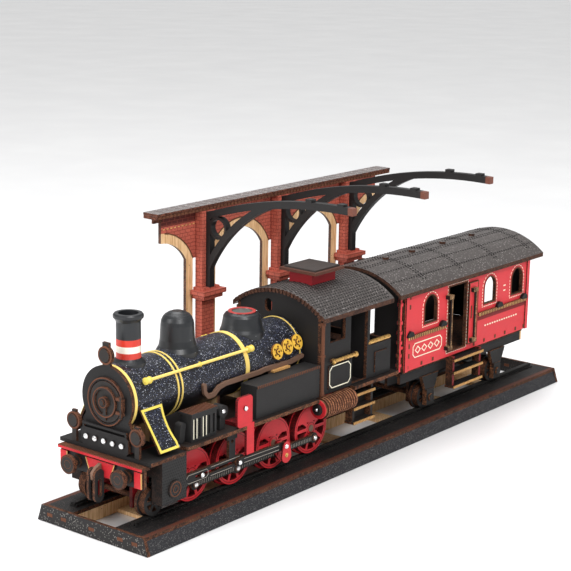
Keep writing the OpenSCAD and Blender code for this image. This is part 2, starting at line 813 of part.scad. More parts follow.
module carriage_frame() color(BLACK) {
    translate([carriage_x0 + 2, -body_w / 2 + 3.4, sole_z]) cube([carriage_x1 - carriage_x0 - 4, body_w - 6.8, ply]);
    both_sides() side_sheet(frame_in + 2) difference() {
        union() {
            translate([carriage_x0 + 4, 30]) square([carriage_x1 - carriage_x0 - 8, sole_z - 30 - glue]);
            for (x = carriage_axles) translate([x - 6, small_z - 4]) square([12, 16]);
        }
        for (x = carriage_axles) axle_hole(x, small_z, 1.5);
    }
    both_sides() side_sheet(body_w / 2 - 5.4) translate([carriage_x0 + 2, 33.5])
        square([carriage_x1 - carriage_x0 - 4, sole_z - 33.5 - glue]);
    // drawbar to the locomotive
    translate([cab_rear + 5.2, -3, sole_z - ply - glue]) cube([carriage_x0 - cab_rear, 6, ply]);
    // rear platform, gate and its bare-wood end board
    translate([carriage_x1 - 2, -20, platform_z + glue]) cube([13, 40, ply - glue]);
    both_sides() side_sheet(17) difference() {
        translate([carriage_x1 + 0.6, carriage_z + glue]) square([9, 30]);
        for (i = [0:3])
            translate([carriage_x1 + 2.4, carriage_z + 2 + i * 7]) square([5.4, 5]);
    }
    color(PALE) cross_sheet(carriage_x1 + 9) translate([-20, platform_z - 10]) square([40, 10]);
}

door_x = [75.5, 95.5];
window_xs = [56, 122.5, 155];

// Turned post beside the front corner, with its knobs
module end_post() {
    translate([carriage_x0 - 3, body_w / 2 - 1.5, 43]) cylinder(h = 46, r = 1.1);
    for (z = [46, 52, 60, 66, 72, 83])
        translate([carriage_x0 - 3, body_w / 2 - 1.5, z]) cylinder(h = 2, r = 1.7);
    translate([carriage_x0 - 3, body_w / 2 - 2.3, 56.5]) cube([3, 1.6, 1.6]);
}

module carriage_walls() color(CORAL) {
    both_sides() side_sheet(body_w / 2 - ply) difference() {
        translate([carriage_x0, carriage_z]) square([carriage_x1 - carriage_x0, eaves_under - carriage_z]);
        for (x = window_xs) arched_opening(x, 68, 13, 84.5);
        translate([door_x[0], 45]) square([door_x[1] - door_x[0], 41]);
    }
    for (x = [carriage_x0, carriage_x1 - ply])
        cross_sheet(x) difference() {
            intersection() {
                under_roof(carriage_z);
                translate([glue + ply - body_w / 2, 0]) square([body_w - 2 * (ply + glue), 200]);
            }
            translate([-8, carriage_z + 2]) square([16, 42]);
            both_sides() arched_opening(18, 68, 10, 83);
        }
    both_sides() {
        for (x = [carriage_x0 + 0.4, carriage_x1 - 3.4])
            side_sheet(body_w / 2, 0.8) translate([x, carriage_z]) square([3, eaves_under - carriage_z]);
        for (s = [[carriage_x0 + 4, door_x[0] - 2], [door_x[1] + 14, carriage_x1 - 4]])
            side_sheet(body_w / 2, 1.2) translate([s[0], 61.6]) square([s[1] - s[0], 1.8]);
    }
    // floor
    translate([carriage_x0 + ply, glue + ply - body_w / 2, platform_z])
        cube([carriage_x1 - carriage_x0 - 2 * ply, body_w - 2 * (ply + glue), ply - glue]);
    both_sides() end_post();
}

module carriage_roof() color(GREY) {
    cross_sheet(20, 162) roof_curve();
    for (x = [50, 78, 112, 146])
        translate([x, 0, roof_c + roof_r - 0.6]) cylinder(h = 2, r = 2);
}

module carriage_handrails() color(BLACK) both_sides()
    for (x = door_x + [-2.5, 4.5])
        {
            for (z = [47, 79])
                side_sheet(body_w / 2, 3) translate([x - 1, z]) square([5, 2.4]);
            translate([x + 3, body_w / 2 + 2, 47]) cylinder(h = 34.4, r = 0.9);
        }

module door_steps() color(RED) both_sides() {
    step_ladder(78, 110, 29.7, [39, 31, 22], carriage_z);
}

// Sprung axle boxes outside the carriage wheels
module axle_box(x) {
    translate([x - 4, 25, small_z - 4.5]) cube([8, 3, 10]);
    bar_y(x, 28, 29.2, small_z, 2.4);
    side_sheet(25.2, 2.4) polygon([[x - 9, 33.5], [x + 9, 33.5], [x + 5, small_z + 5.5], [x - 5, small_z + 5.5]]);
}

module axle_boxes() color(BLACK) both_sides()
    for (x = carriage_axles) axle_box(x);

module carriage_wheelset_front() small_wheelset(carriage_axles[0], 6);
module carriage_wheelset_rear() small_wheelset(carriage_axles[1], 6);

ballast_sides();
deck_plates();
track_bearers();
base_ends();
rails();
station_columns();
station_wall();
arch_trims();
canopy_arms();
canopy_board();
round_sign();
loco_frame();
footplate();
front_platform();
buffer_beam();
buffers();
coupling_hook();
coupling_link();
cylinder_blocks();
slide_bars();
motion_brackets();
head_lamps();
driving_wheels_1();
driving_wheels_2();
driving_wheels_3();
driving_wheels_4();
driving_axle_1();
driving_axle_2();
driving_axle_3();
driving_axle_4();
return_cranks();
coupling_rod_near();
coupling_rod_far();
leading_wheelset();
boiler_barrel();
boiler_formers();
smokebox_front();
smokebox_door();
boiler_bands();
chimney();
boiler_domes();
boiler_handrails();
valve_wheels();
feed_pipes();
steam_pipe_covers();
air_pumps();
side_tanks();
cab_walls();
cab_roof();
roof_ventilator();
air_reservoirs();
cab_steps();
carriage_frame();
carriage_walls();
carriage_roof();
carriage_handrails();
door_steps();
axle_boxes();
carriage_wheelset_front();
carriage_wheelset_rear();
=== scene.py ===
"""Looks of a laser-cut plywood tank locomotive, its carriage and a station canopy.

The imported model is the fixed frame. Each class below dresses the nodes of one
sub-assembly and adds the small pieces that its bare solids leave out.
"""

from __future__ import annotations

import json
import logging
import math
from collections.abc import Callable, Iterable, Sequence
from dataclasses import dataclass, field
from enum import Enum
from typing import ClassVar

import bmesh
import bpy
from mathutils import Matrix, Vector

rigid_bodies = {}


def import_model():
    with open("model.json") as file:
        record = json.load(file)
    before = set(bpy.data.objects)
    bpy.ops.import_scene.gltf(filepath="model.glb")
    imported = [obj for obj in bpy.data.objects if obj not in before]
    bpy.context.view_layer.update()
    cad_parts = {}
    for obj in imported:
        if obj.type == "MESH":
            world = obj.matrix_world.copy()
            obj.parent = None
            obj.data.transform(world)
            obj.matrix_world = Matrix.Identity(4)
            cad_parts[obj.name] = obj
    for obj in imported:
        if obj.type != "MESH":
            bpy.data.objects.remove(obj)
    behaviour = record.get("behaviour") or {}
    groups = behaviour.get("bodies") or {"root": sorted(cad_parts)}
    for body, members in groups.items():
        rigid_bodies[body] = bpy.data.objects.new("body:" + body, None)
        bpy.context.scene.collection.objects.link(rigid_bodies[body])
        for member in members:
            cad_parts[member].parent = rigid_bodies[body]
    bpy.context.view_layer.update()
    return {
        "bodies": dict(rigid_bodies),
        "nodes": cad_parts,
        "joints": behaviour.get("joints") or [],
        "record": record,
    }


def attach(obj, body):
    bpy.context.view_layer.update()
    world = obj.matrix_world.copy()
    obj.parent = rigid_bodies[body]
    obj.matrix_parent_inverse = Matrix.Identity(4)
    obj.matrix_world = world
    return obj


LOG = logging.getLogger("train")
MM = 0.001
SIDES = ((-1, "near"), (1, "far"))

Colour = tuple[float, float, float]
Point = tuple[float, float]
Span = tuple[float, float]
Place = Callable[[float, float, float], Vector]


def srgb(red: int, green: int, blue: int) -> Colour:
    """Turn display values from 0 to 255 into a linear colour.

    Args:
        red: Red share.
        green: Green share.
        blue: Blue share.

    Returns:
        The colour as linear values from 0 to 1.
    """

    def linear(value: int) -> float:
        """Linear value of one share."""
        share = value / 255
        return share / 12.92 if share <= 0.04045 else ((share + 0.055) / 1.055) ** 2.4

    return (linear(red), linear(green), linear(blue))


def rgba(colour: Colour) -> tuple[float, float, float, float]:
    """The colour with full opacity."""
    return (*colour, 1.0)


# ---------------------------------------------------------------- node wiring


class Wiring:
    """Adds nodes to one shader or geometry tree and joins them."""

    def __init__(self, tree: bpy.types.NodeTree) -> None:
        """Keep the tree to work on."""
        self.tree = tree

    def feed(self, socket: bpy.types.NodeSocket, value: object) -> None:
        """Join a socket to another, or give it a plain value.

        Args:
            socket: The input to fill.
            value: An output socket, or a value of the input's own type.
        """
        if isinstance(value, bpy.types.NodeSocket):
            self.tree.links.new(value, socket)
        else:
            socket.default_value = value

    def add(self, kind: str, inputs: dict | None = None, **settings: object) -> bpy.types.Node:
        """Add one node.

        Args:
            kind: Blender's name of the node type.
            inputs: Values or sockets for its inputs, by name or place.
            **settings: Properties of the node itself.

        Returns:
            The new node.
        """
        node = self.tree.nodes.new(kind)
        for name, value in settings.items():
            setattr(node, name, value)
        for key, value in (inputs or {}).items():
            self.feed(node.inputs[key], value)
        return node

    def math(self, operation: str, *values: object) -> bpy.types.NodeSocket:
        """One arithmetic step on floats."""
        node = self.add("ShaderNodeMath", dict(enumerate(values)), operation=operation)
        return node.outputs[0]

    def vector(self, operation: str, *values: object) -> bpy.types.Node:
        """One arithmetic step on vectors."""
        return self.add("ShaderNodeVectorMath", dict(enumerate(values)), operation=operation)

    def ramp(self, value: object, low: float, high: float) -> bpy.types.NodeSocket:
        """Smooth step of a value, from 0 at low to 1 at high."""
        inputs = {"Value": value, "From Min": low, "From Max": high}
        node = self.add("ShaderNodeMapRange", inputs, interpolation_type="SMOOTHSTEP")
        return node.outputs["Result"]

    def span(self, value: object, low: float, high: float) -> bpy.types.NodeSocket:
        """Straight change of a value from 0..1 to low..high."""
        inputs = {"Value": value, "To Min": low, "To Max": high}
        return self.add("ShaderNodeMapRange", inputs).outputs["Result"]

    def blend(self, share: object, first: object, second: object) -> bpy.types.NodeSocket:
        """Mix of two colours by a share."""
        inputs = {0: share, 6: first, 7: second}
        return self.add("ShaderNodeMix", inputs, data_type="RGBA").outputs[2]

    def tint(self, colour: object, tone: object) -> bpy.types.NodeSocket:
        """A colour made lighter or darker by a tone around 1."""
        start = tuple(colour)[:3] if isinstance(colour, tuple) else colour
        node = self.add("ShaderNodeVectorMath", {0: start}, operation="SCALE")
        self.feed(node.inputs["Scale"], tone)
        return node.outputs[0]

    def split(self, vector: bpy.types.NodeSocket) -> Sequence[bpy.types.NodeSocket]:
        """The three parts of a vector."""
        return self.add("ShaderNodeSeparateXYZ", {0: vector}).outputs

    def noise(self, vector: object, scale: float, detail: float = 2.0) -> bpy.types.NodeSocket:
        """Soft noise around 0.5."""
        inputs = {"Vector": vector, "Scale": scale, "Detail": detail}
        return self.add("ShaderNodeTexNoise", inputs).outputs[0]

    def millimetres(self) -> bpy.types.NodeSocket:
        """Place on the piece in millimetres."""
        place = self.add("ShaderNodeTexCoord").outputs["Object"]
        node = self.vector("SCALE", place)
        node.inputs["Scale"].default_value = 1 / MM
        return node.outputs[0]


@dataclass(frozen=True)
class Socket:
    """Name, type and first value of one socket of a node group."""

    name: str
    default: object = 0.0

    @property
    def kind(self) -> str:
        """Blender's socket type for the default value."""
        if isinstance(self.default, tuple):
            return "NodeSocketColor" if len(self.default) == 4 else "NodeSocketVector"
        return "NodeSocketFloat"


class Effect:
    """A shader node group that is built once and placed in many finishes."""

    name = "effect"
    takes: tuple[Socket, ...] = ()
    gives: tuple[Socket, ...] = ()

    def wire(self, wiring: Wiring, given: dict) -> dict:
        """Build the inside of the group.

        Args:
            wiring: Wiring of the group's tree.
            given: The group's input sockets by name.

        Returns:
            The output sockets by name.
        """
        raise NotImplementedError

    def tree(self) -> bpy.types.NodeTree:
        """The group's tree, made on first use."""
        found = bpy.data.node_groups.get(self.name)
        if found is not None:
            return found
        made = bpy.data.node_groups.new(self.name, "ShaderNodeTree")
        for socket in self.takes:
            entry = made.interface.new_socket(socket.name, in_out="INPUT", socket_type=socket.kind)
            entry.default_value = socket.default
        for socket in self.gives:
            made.interface.new_socket(socket.name, in_out="OUTPUT", socket_type=socket.kind)
        inside = made.nodes.new("NodeGroupInput")
        outside = made.nodes.new("NodeGroupOutput")
        given = {socket.name: inside.outputs[socket.name] for socket in self.takes}
        for name, socket in self.wire(Wiring(made), given).items():
            made.links.new(socket, outside.inputs[name])
        return made

    def place(self, wiring: Wiring, values: dict | None = None) -> Sequence[bpy.types.NodeSocket]:
        """Put the group into a material.

        Args:
            wiring: Wiring of the material's tree.
            values: Values or sockets for the group's inputs, by name.

        Returns:
            The group's output sockets.
        """
        node = wiring.add("ShaderNodeGroup", node_tree=self.tree())
        for name, value in (values or {}).items():
            wiring.feed(node.inputs[name], value)
        return node.outputs


class CutEdges(Effect):
    """Tells a sheet's laser-cut edges from its printed faces by the normal."""

    name = "cut_edges"
    takes = (Socket("Across X"), Socket("Across Y"), Socket("Across Z"), Socket("Side From"))
    gives = (Socket("Edge"),)

    def wire(self, wiring: Wiring, given: dict) -> dict:
        """Mask of the edges; side sheets begin where |y| passes Side From."""
        normal = wiring.add("ShaderNodeTexCoord").outputs["Normal"]
        nx, ny, nz = (wiring.math("ABSOLUTE", part) for part in wiring.split(normal))
        y = wiring.math("ABSOLUTE", wiring.split(wiring.millimetres())[1])
        side = wiring.math("GREATER_THAN", y, given["Side From"])
        cross = wiring.math("SUBTRACT", 1.0, side)
        face_x = wiring.math("MULTIPLY", wiring.math("MULTIPLY", nx, given["Across X"]), cross)
        face_y = wiring.math("MULTIPLY", wiring.math("MULTIPLY", ny, given["Across Y"]), side)
        face_z = wiring.math("MULTIPLY", nz, given["Across Z"])
        best = wiring.math("MAXIMUM", wiring.math("MAXIMUM", face_x, face_y), face_z)
        return {"Edge": wiring.math("SUBTRACT", 1.0, wiring.ramp(best, 0.62, 0.74))}


class Scorch(Effect):
    """Burnt wood on a cut edge: charred streaks over toasted layers."""

    name = "scorch"
    takes = (Socket("Char", (0, 0, 0, 1)), Socket("Toast", (0, 0, 0, 1)))
    gives = (Socket("Color", (0, 0, 0, 1)), Socket("Height"))

    def wire(self, wiring: Wiring, given: dict) -> dict:
        """Colour and height of the burnt edge."""
        place = wiring.millimetres()
        streak = wiring.noise(place, 1.7, 3.0)
        blotch = wiring.noise(place, 0.35, 2.0)
        share = wiring.math("MULTIPLY", wiring.ramp(streak, 0.34, 0.66), wiring.ramp(blotch, 0.2, 0.62))
        colour = wiring.blend(share, given["Char"], given["Toast"])
        return {"Color": colour, "Height": wiring.math("MULTIPLY", streak, 0.5)}


class PrintWear(Effect):
    """Uneven ink over wood grain, with rubbed places."""

    name = "print_wear"
    takes = (Socket("Strength", 0.2),)
    gives = (Socket("Tone", 1.0), Socket("Gloss"), Socket("Height"))

    def wire(self, wiring: Wiring, given: dict) -> dict:
        """Tone around 1, gloss change around 0 and height of the grain."""
        place = wiring.millimetres()
        stretched = wiring.vector("MULTIPLY", place, (0.22, 1.6, 1.1)).outputs[0]
        grain = wiring.noise(stretched, 1.4, 3.0)
        cloud = wiring.noise(place, 0.07, 3.0)
        fine = wiring.noise(place, 3.2, 1.0)
        mixed = wiring.math("ADD", wiring.math("MULTIPLY", grain, 0.5), wiring.math("MULTIPLY", cloud, 0.9))
        mixed = wiring.math("ADD", mixed, wiring.math("MULTIPLY", fine, 0.6))
        swing = wiring.math("SUBTRACT", mixed, 1.0)
        tone = wiring.math("MULTIPLY_ADD", swing, given["Strength"], 1.0)
        gloss = wiring.math("MULTIPLY", wiring.math("SUBTRACT", cloud, 0.5), 0.5)
        height = wiring.math("ADD", wiring.math("MULTIPLY", grain, 0.7), wiring.math("MULTIPLY", fine, 0.3))
        return {"Tone": tone, "Gloss": gloss, "Height": height}


class Flecks(Effect):
    """Small scattered specks, each with a shade of its own."""

    name = "flecks"
    takes = (Socket("Pitch", 1.0), Socket("Share", 0.3), Socket("Size", 0.4))
    gives = (Socket("Mask"), Socket("Shade"))

    def wire(self, wiring: Wiring, given: dict) -> dict:
        """Mask of the specks and a random shade for each."""
        finer = wiring.vector("SCALE", wiring.millimetres())
        wiring.feed(finer.inputs["Scale"], wiring.math("DIVIDE", 1.0, given["Pitch"]))
        cells = wiring.add("ShaderNodeTexVoronoi", {"Vector": finer.outputs[0], "Scale": 1.0})
        near = wiring.math("LESS_THAN", cells.outputs["Distance"], given["Size"])
        pick, shade, _ = wiring.split(cells.outputs["Color"])
        chosen = wiring.math("LESS_THAN", pick, given["Share"])
        return {"Mask": wiring.math("MULTIPLY", near, chosen), "Shade": shade}


# ------------------------------------------------------------------- finishes


class Faces(Enum):
    """Which way a node's sheets lie: printed normals and where side sheets begin."""

    SIDE = (0.0, 1.0, 0.0, -1.0)
    CROSS = (1.0, 0.0, 0.0, 1000.0)
    FLAT = (0.0, 0.0, 1.0, 1000.0)
    CROSS_FLAT = (1.0, 0.0, 1.0, 1000.0)
    SIDE_FLAT = (0.0, 1.0, 1.0, -1.0)
    BODY = (1.0, 1.0, 0.0, 27.95)
    ALL = (1.0, 1.0, 1.0, 0.0)

    def edge(self, wiring: Wiring) -> object:
        """Mask of the cut edges in one material; 0 where every face is printed."""
        if self is Faces.ALL:
            return 0.0
        names = ("Across X", "Across Y", "Across Z", "Side From")
        return CutEdges().place(wiring, dict(zip(names, self.value)))[0]


@dataclass(frozen=True)
class Patch:
    """Paint inside an upright box; an axis without a span is not limited.

    Attributes:
        colour: Colour of the paint.
        x: Lowest and highest place along the track, in millimetres.
        y: The same across the track.
        z: The same upwards.
        folded: True where both sides of the centre line carry it.
    """

    colour: Colour
    x: Span | None = None
    y: Span | None = None
    z: Span | None = None
    folded: bool = False

    def cover(self, wiring: Wiring, place: bpy.types.NodeSocket, under: object) -> bpy.types.NodeSocket:
        """Paint the patch over a colour and return the new colour."""
        x, y, z = wiring.split(place)
        if self.folded:
            y = wiring.math("ABSOLUTE", y)
        inside = 1.0
        for along, span in ((x, self.x), (y, self.y), (z, self.z)):
            if span is not None:
                inside = wiring.math("MULTIPLY", inside, wiring.math("GREATER_THAN", along, span[0]))
                inside = wiring.math("MULTIPLY", inside, wiring.math("LESS_THAN", along, span[1]))
        return wiring.blend(inside, under, rgba(self.colour))


CHAR = srgb(30, 19, 14)
TOAST = srgb(112, 68, 44)
DIM_TOAST = srgb(78, 46, 32)


@dataclass(frozen=True)
class Finish:
    """What all finishes share: a name, a relief and the making of the material.

    Attributes:
        name: Name of the material.
        relief: Height of the surface's unevenness, in millimetres.
    """

    name: str
    relief: float = field(default=0.02, kw_only=True)

    def paint(self, wiring: Wiring, shader: bpy.types.Node) -> bpy.types.NodeSocket:
        """Feed the shader's colour and roughness.

        Args:
            wiring: Wiring of the material's tree.
            shader: The material's shader.

        Returns:
            The height of the surface, for its bump.
        """
        raise NotImplementedError

    def material(self) -> bpy.types.Material:
        """The finished material, made on first use."""
        found = bpy.data.materials.get(self.name)
        if found is not None:
            return found
        made = bpy.data.materials.new(self.name)
        made.use_nodes = True
        wiring = Wiring(made.node_tree)
        shader = made.node_tree.nodes["Principled BSDF"]
        height = self.paint(wiring, shader)
        inputs = {"Distance": self.relief * MM, "Height": height, "Strength": 1.0}
        wiring.feed(shader.inputs["Normal"], wiring.add("ShaderNodeBump", inputs).outputs[0])
        return made


@dataclass(frozen=True)
class PrintedPly(Finish):
    """Plywood sheet with printed faces and laser-burnt edges.

    Attributes:
        ink: Colour of the printed faces.
        faces: Which way the sheets lie.
        char: Darkest colour of the edges.
        toast: Lightest colour of the edges.
        fleck: Colour of the printed specks.
        share: Share of the speck cells that are printed.
        pitch: Distance between specks, in millimetres.
        size: Radius of a speck as a share of the pitch.
        roughness: Roughness of the ink.
        sheen: Weight of the clear satin coat.
        wear: Strength of the uneven ink.
        specular: Strength of the plain reflection.
        patches: Painted patches.
    """

    ink: Colour
    faces: Faces = Faces.SIDE
    char: Colour = CHAR
    toast: Colour = TOAST
    fleck: Colour = srgb(120, 116, 112)
    share: float = 0.0
    pitch: float = 0.9
    size: float = 0.4
    roughness: float = 0.62
    sheen: float = 0.0
    wear: float = 0.5
    specular: float = 0.28
    patches: tuple[Patch, ...] = ()
    relief: float = field(default=0.06, kw_only=True)

    def pattern(self, wiring: Wiring, place: bpy.types.NodeSocket, under: object) -> tuple:
        """Print the sheet's own pattern over the ink.

        Args:
            wiring: Wiring of the material's tree.
            place: Place on the piece in millimetres.
            under: Colour of the plain ink.

        Returns:
            The colour with its pattern, and the pattern's height or None.
        """
        if not self.share:
            return under, None
        values = {"Pitch": self.pitch, "Share": self.share, "Size": self.size}
        mask, shade = Flecks().place(wiring, values)
        light = wiring.tint(rgba(self.fleck), wiring.span(shade, 0.45, 1.15))
        return wiring.blend(mask, under, light), mask

    def paint(self, wiring: Wiring, shader: bpy.types.Node) -> bpy.types.NodeSocket:
        """Feed the shader and return the surface's height."""
        place = wiring.millimetres()
        tone, gloss, grain = PrintWear().place(wiring, {"Strength": self.wear})
        colour = wiring.tint(rgba(self.ink), tone)
        for patch in self.patches:
            colour = patch.cover(wiring, place, colour)
        colour, raised = self.pattern(wiring, place, colour)
        edge = self.faces.edge(wiring)
        burnt, burnt_height = Scorch().place(wiring, {"Char": rgba(self.char), "Toast": rgba(self.toast)})
        wiring.feed(shader.inputs["Base Color"], wiring.blend(edge, colour, burnt))
        rough = wiring.math("MULTIPLY_ADD", gloss, 0.5, self.roughness)
        rough = wiring.math("MAXIMUM", rough, wiring.math("MULTIPLY", edge, 0.82))
        wiring.feed(shader.inputs["Roughness"], rough)
        shader.inputs["Coat Roughness"].default_value = 0.28
        shader.inputs["Specular IOR Level"].default_value = self.specular
        if self.sheen:
            coat = wiring.math("MULTIPLY", wiring.math("SUBTRACT", 1.0, edge), self.sheen)
            wiring.feed(shader.inputs["Coat Weight"], coat)
        height = wiring.math("ADD", grain, wiring.math("MULTIPLY", edge, burnt_height))
        if raised is not None:
            height = wiring.math("ADD", height, wiring.math("MULTIPLY", raised, 0.8))
        return height


@dataclass(frozen=True)
class BrickPly(PrintedPly):
    """Plywood printed as fine brickwork."""

    mortar: Colour = srgb(132, 62, 50)

    def pattern(self, wiring: Wiring, place: bpy.types.NodeSocket, under: object) -> tuple:
        """Bricks laid over the face, with pale specks."""
        x, y, z = wiring.split(place)
        flat = wiring.add("ShaderNodeCombineXYZ", {0: wiring.math("ADD", x, y), 1: z}).outputs[0]
        lighter = wiring.tint(under, 1.18)
        inputs = {
            "Vector": flat, "Color1": under, "Color2": lighter, "Mortar": rgba(self.mortar),
            "Scale": 1.0, "Mortar Size": 0.22, "Mortar Smooth": 0.3, "Brick Width": 4.4, "Row Height": 2.1,
        }
        bricks = wiring.add("ShaderNodeTexBrick", inputs)
        raised = wiring.math("SUBTRACT", 1.0, bricks.outputs["Fac"])
        colour = bricks.outputs["Color"]
        speck, shade = Flecks().place(wiring, {"Pitch": 0.8, "Share": 0.25, "Size": 0.36})
        dark = wiring.tint(rgba(self.mortar), wiring.span(shade, 0.5, 1.5))
        return wiring.blend(speck, colour, dark), raised


@dataclass(frozen=True)
class MeshPly(PrintedPly):
    """Plywood engraved with a fine staggered mesh of dots."""

    dot: Colour = srgb(12, 11, 11)
    dot_pitch: float = 1.5

    def pattern(self, wiring: Wiring, place: bpy.types.NodeSocket, under: object) -> tuple:
        """Engraved dots in staggered rows."""
        x, _, z = wiring.split(place)
        row = wiring.math("FLOOR", wiring.math("DIVIDE", z, self.dot_pitch))
        shift = wiring.math("MULTIPLY", wiring.math("MODULO", row, 2.0), 0.5)
        across = wiring.math("FRACT", wiring.math("ADD", wiring.math("DIVIDE", x, self.dot_pitch), shift))
        up = wiring.math("FRACT", wiring.math("DIVIDE", z, self.dot_pitch))
        side = wiring.math("ABSOLUTE", wiring.math("SUBTRACT", across, 0.5))
        rise = wiring.math("ABSOLUTE", wiring.math("SUBTRACT", up, 0.5))
        squares = [wiring.math("POWER", part, 2.0) for part in (side, rise)]
        away = wiring.math("SQRT", wiring.math("ADD", *squares))
        hole = wiring.math("LESS_THAN", away, 0.28)
        return wiring.blend(hole, under, rgba(self.dot)), wiring.math("SUBTRACT", 1.0, hole)


@dataclass(frozen=True)
class GlitterPrint(PrintedPly):
    """Black print strewn with fine glitter that thins out below a height."""

    full_from: float = 70.0
    thin_below: float = 63.0

    def pattern(self, wiring: Wiring, place: bpy.types.NodeSocket, under: object) -> tuple:
        """Two sizes of glitter, white and blue."""
        height = wiring.split(place)[2]
        dense = wiring.ramp(height, self.thin_below, self.full_from)
        big, big_shade = Flecks().place(wiring, {"Pitch": 0.72, "Share": 0.34, "Size": 0.34})
        small, small_shade = Flecks().place(wiring, {"Pitch": 0.42, "Share": 0.45, "Size": 0.4})
        white = wiring.tint(rgba(srgb(225, 228, 240)), wiring.span(big_shade, 0.08, 0.9))
        blue = wiring.tint(rgba(srgb(112, 122, 160)), wiring.span(small_shade, 0.05, 0.75))
        colour = wiring.blend(wiring.math("MULTIPLY", small, dense), under, blue)
        colour = wiring.blend(wiring.math("MULTIPLY", big, dense), colour, white)
        return colour, wiring.math("MULTIPLY", big, dense)


@dataclass(frozen=True)
class BareWood(Finish):
    """Unprinted plywood with straight grain and small pores.

    Attributes:
        faces: Which way the sheets lie.
        light: Colour of the early wood.
        dark: Colour of the late wood.
        roughness: Roughness of the sanded face.
    """

    faces: Faces = Faces.SIDE
    light: Colour = srgb(236, 198, 150)
    dark: Colour = srgb(205, 158, 108)
    roughness: float = 0.66
    relief: float = field(default=0.05, kw_only=True)

    def paint(self, wiring: Wiring, shader: bpy.types.Node) -> bpy.types.NodeSocket:
        """Feed the shader and return the surface's height."""
        place = wiring.millimetres()
        along = wiring.vector("MULTIPLY", place, (0.9, 0.9, 0.08)).outputs[0]
        grain = wiring.noise(along, 1.3, 4.0)
        cloud = wiring.noise(place, 0.05, 2.0)
        share = wiring.math("ADD", wiring.ramp(grain, 0.35, 0.7), wiring.math("SUBTRACT", cloud, 0.5))
        colour = wiring.blend(wiring.math("MINIMUM", share, 1.0), rgba(self.light), rgba(self.dark))
        pore, _ = Flecks().place(wiring, {"Pitch": 2.4, "Share": 0.18, "Size": 0.12})
        colour = wiring.blend(pore, colour, rgba(DIM_TOAST))
        edge = self.faces.edge(wiring)
        burnt, burnt_height = Scorch().place(wiring, {"Char": rgba(CHAR), "Toast": rgba(TOAST)})
        wiring.feed(shader.inputs["Base Color"], wiring.blend(edge, colour, burnt))
        rough = wiring.span(grain, self.roughness - 0.1, self.roughness + 0.15)
        wiring.feed(shader.inputs["Roughness"], rough)
        height = wiring.math("ADD", grain, wiring.math("MULTIPLY", edge, burnt_height))
        return height


@dataclass(frozen=True)
class MouldedPlastic(Finish):
    """Satin moulded plastic with painted rings, for chimney and domes.

    Attributes:
        colour: Colour of the plastic.
        patches: Painted rings.
        roughness: Roughness of the surface.
    """

    colour: Colour = srgb(27, 29, 32)
    patches: tuple[Patch, ...] = ()
    roughness: float = 0.36

    def paint(self, wiring: Wiring, shader: bpy.types.Node) -> bpy.types.NodeSocket:
        """Feed the shader and return the surface's height."""
        place = wiring.millimetres()
        cloud = wiring.noise(place, 0.12, 3.0)
        pebble = wiring.noise(place, 3.5, 2.0)
        colour = wiring.tint(rgba(self.colour), wiring.span(cloud, 0.75, 1.25))
        for patch in self.patches:
            colour = patch.cover(wiring, place, colour)
        dust, shade = Flecks().place(wiring, {"Pitch": 1.6, "Share": 0.07, "Size": 0.14})
        light = wiring.tint(rgba(srgb(150, 152, 156)), wiring.span(shade, 0.4, 1.0))
        colour = wiring.blend(dust, colour, light)
        wiring.feed(shader.inputs["Base Color"], colour)
        rough = wiring.span(cloud, self.roughness - 0.08, self.roughness + 0.12)
        wiring.feed(shader.inputs["Roughness"], rough)
        return pebble


@dataclass(frozen=True)
class Metal(Finish):
    """Brass or plated steel, a little tarnished.

    Attributes:
        colour: Colour of the clean metal.
        tarnish: Colour of the tarnish.
        metallic: Share of metal in the look.
        roughness: Roughness of the clean metal.
    """

    colour: Colour
    tarnish: Colour
    metallic: float = 0.75
    roughness: float = 0.34

    def paint(self, wiring: Wiring, shader: bpy.types.Node) -> bpy.types.NodeSocket:
        """Feed the shader and return the surface's height."""
        place = wiring.millimetres()
        spots = wiring.noise(place, 0.8, 3.0)
        scratch = wiring.noise(wiring.vector("MULTIPLY", place, (0.3, 2.0, 2.0)).outputs[0], 2.0, 2.0)
        dull = wiring.ramp(spots, 0.46, 0.72)
        wiring.feed(shader.inputs["Base Color"], wiring.blend(dull, rgba(self.colour), rgba(self.tarnish)))
        shader.inputs["Metallic"].default_value = self.metallic
        rough = wiring.span(spots, self.roughness - 0.1, self.roughness + 0.25)
        wiring.feed(shader.inputs["Roughness"], rough)
        return scratch


# ------------------------------------------------------------- mesh building


def mesh_object(name: str, mesh: bpy.types.Mesh) -> bpy.types.Object:
    """Put a mesh into the scene, at the origin."""
    made = bpy.data.objects.new(name, mesh)
    bpy.context.scene.collection.objects.link(made)
    return made


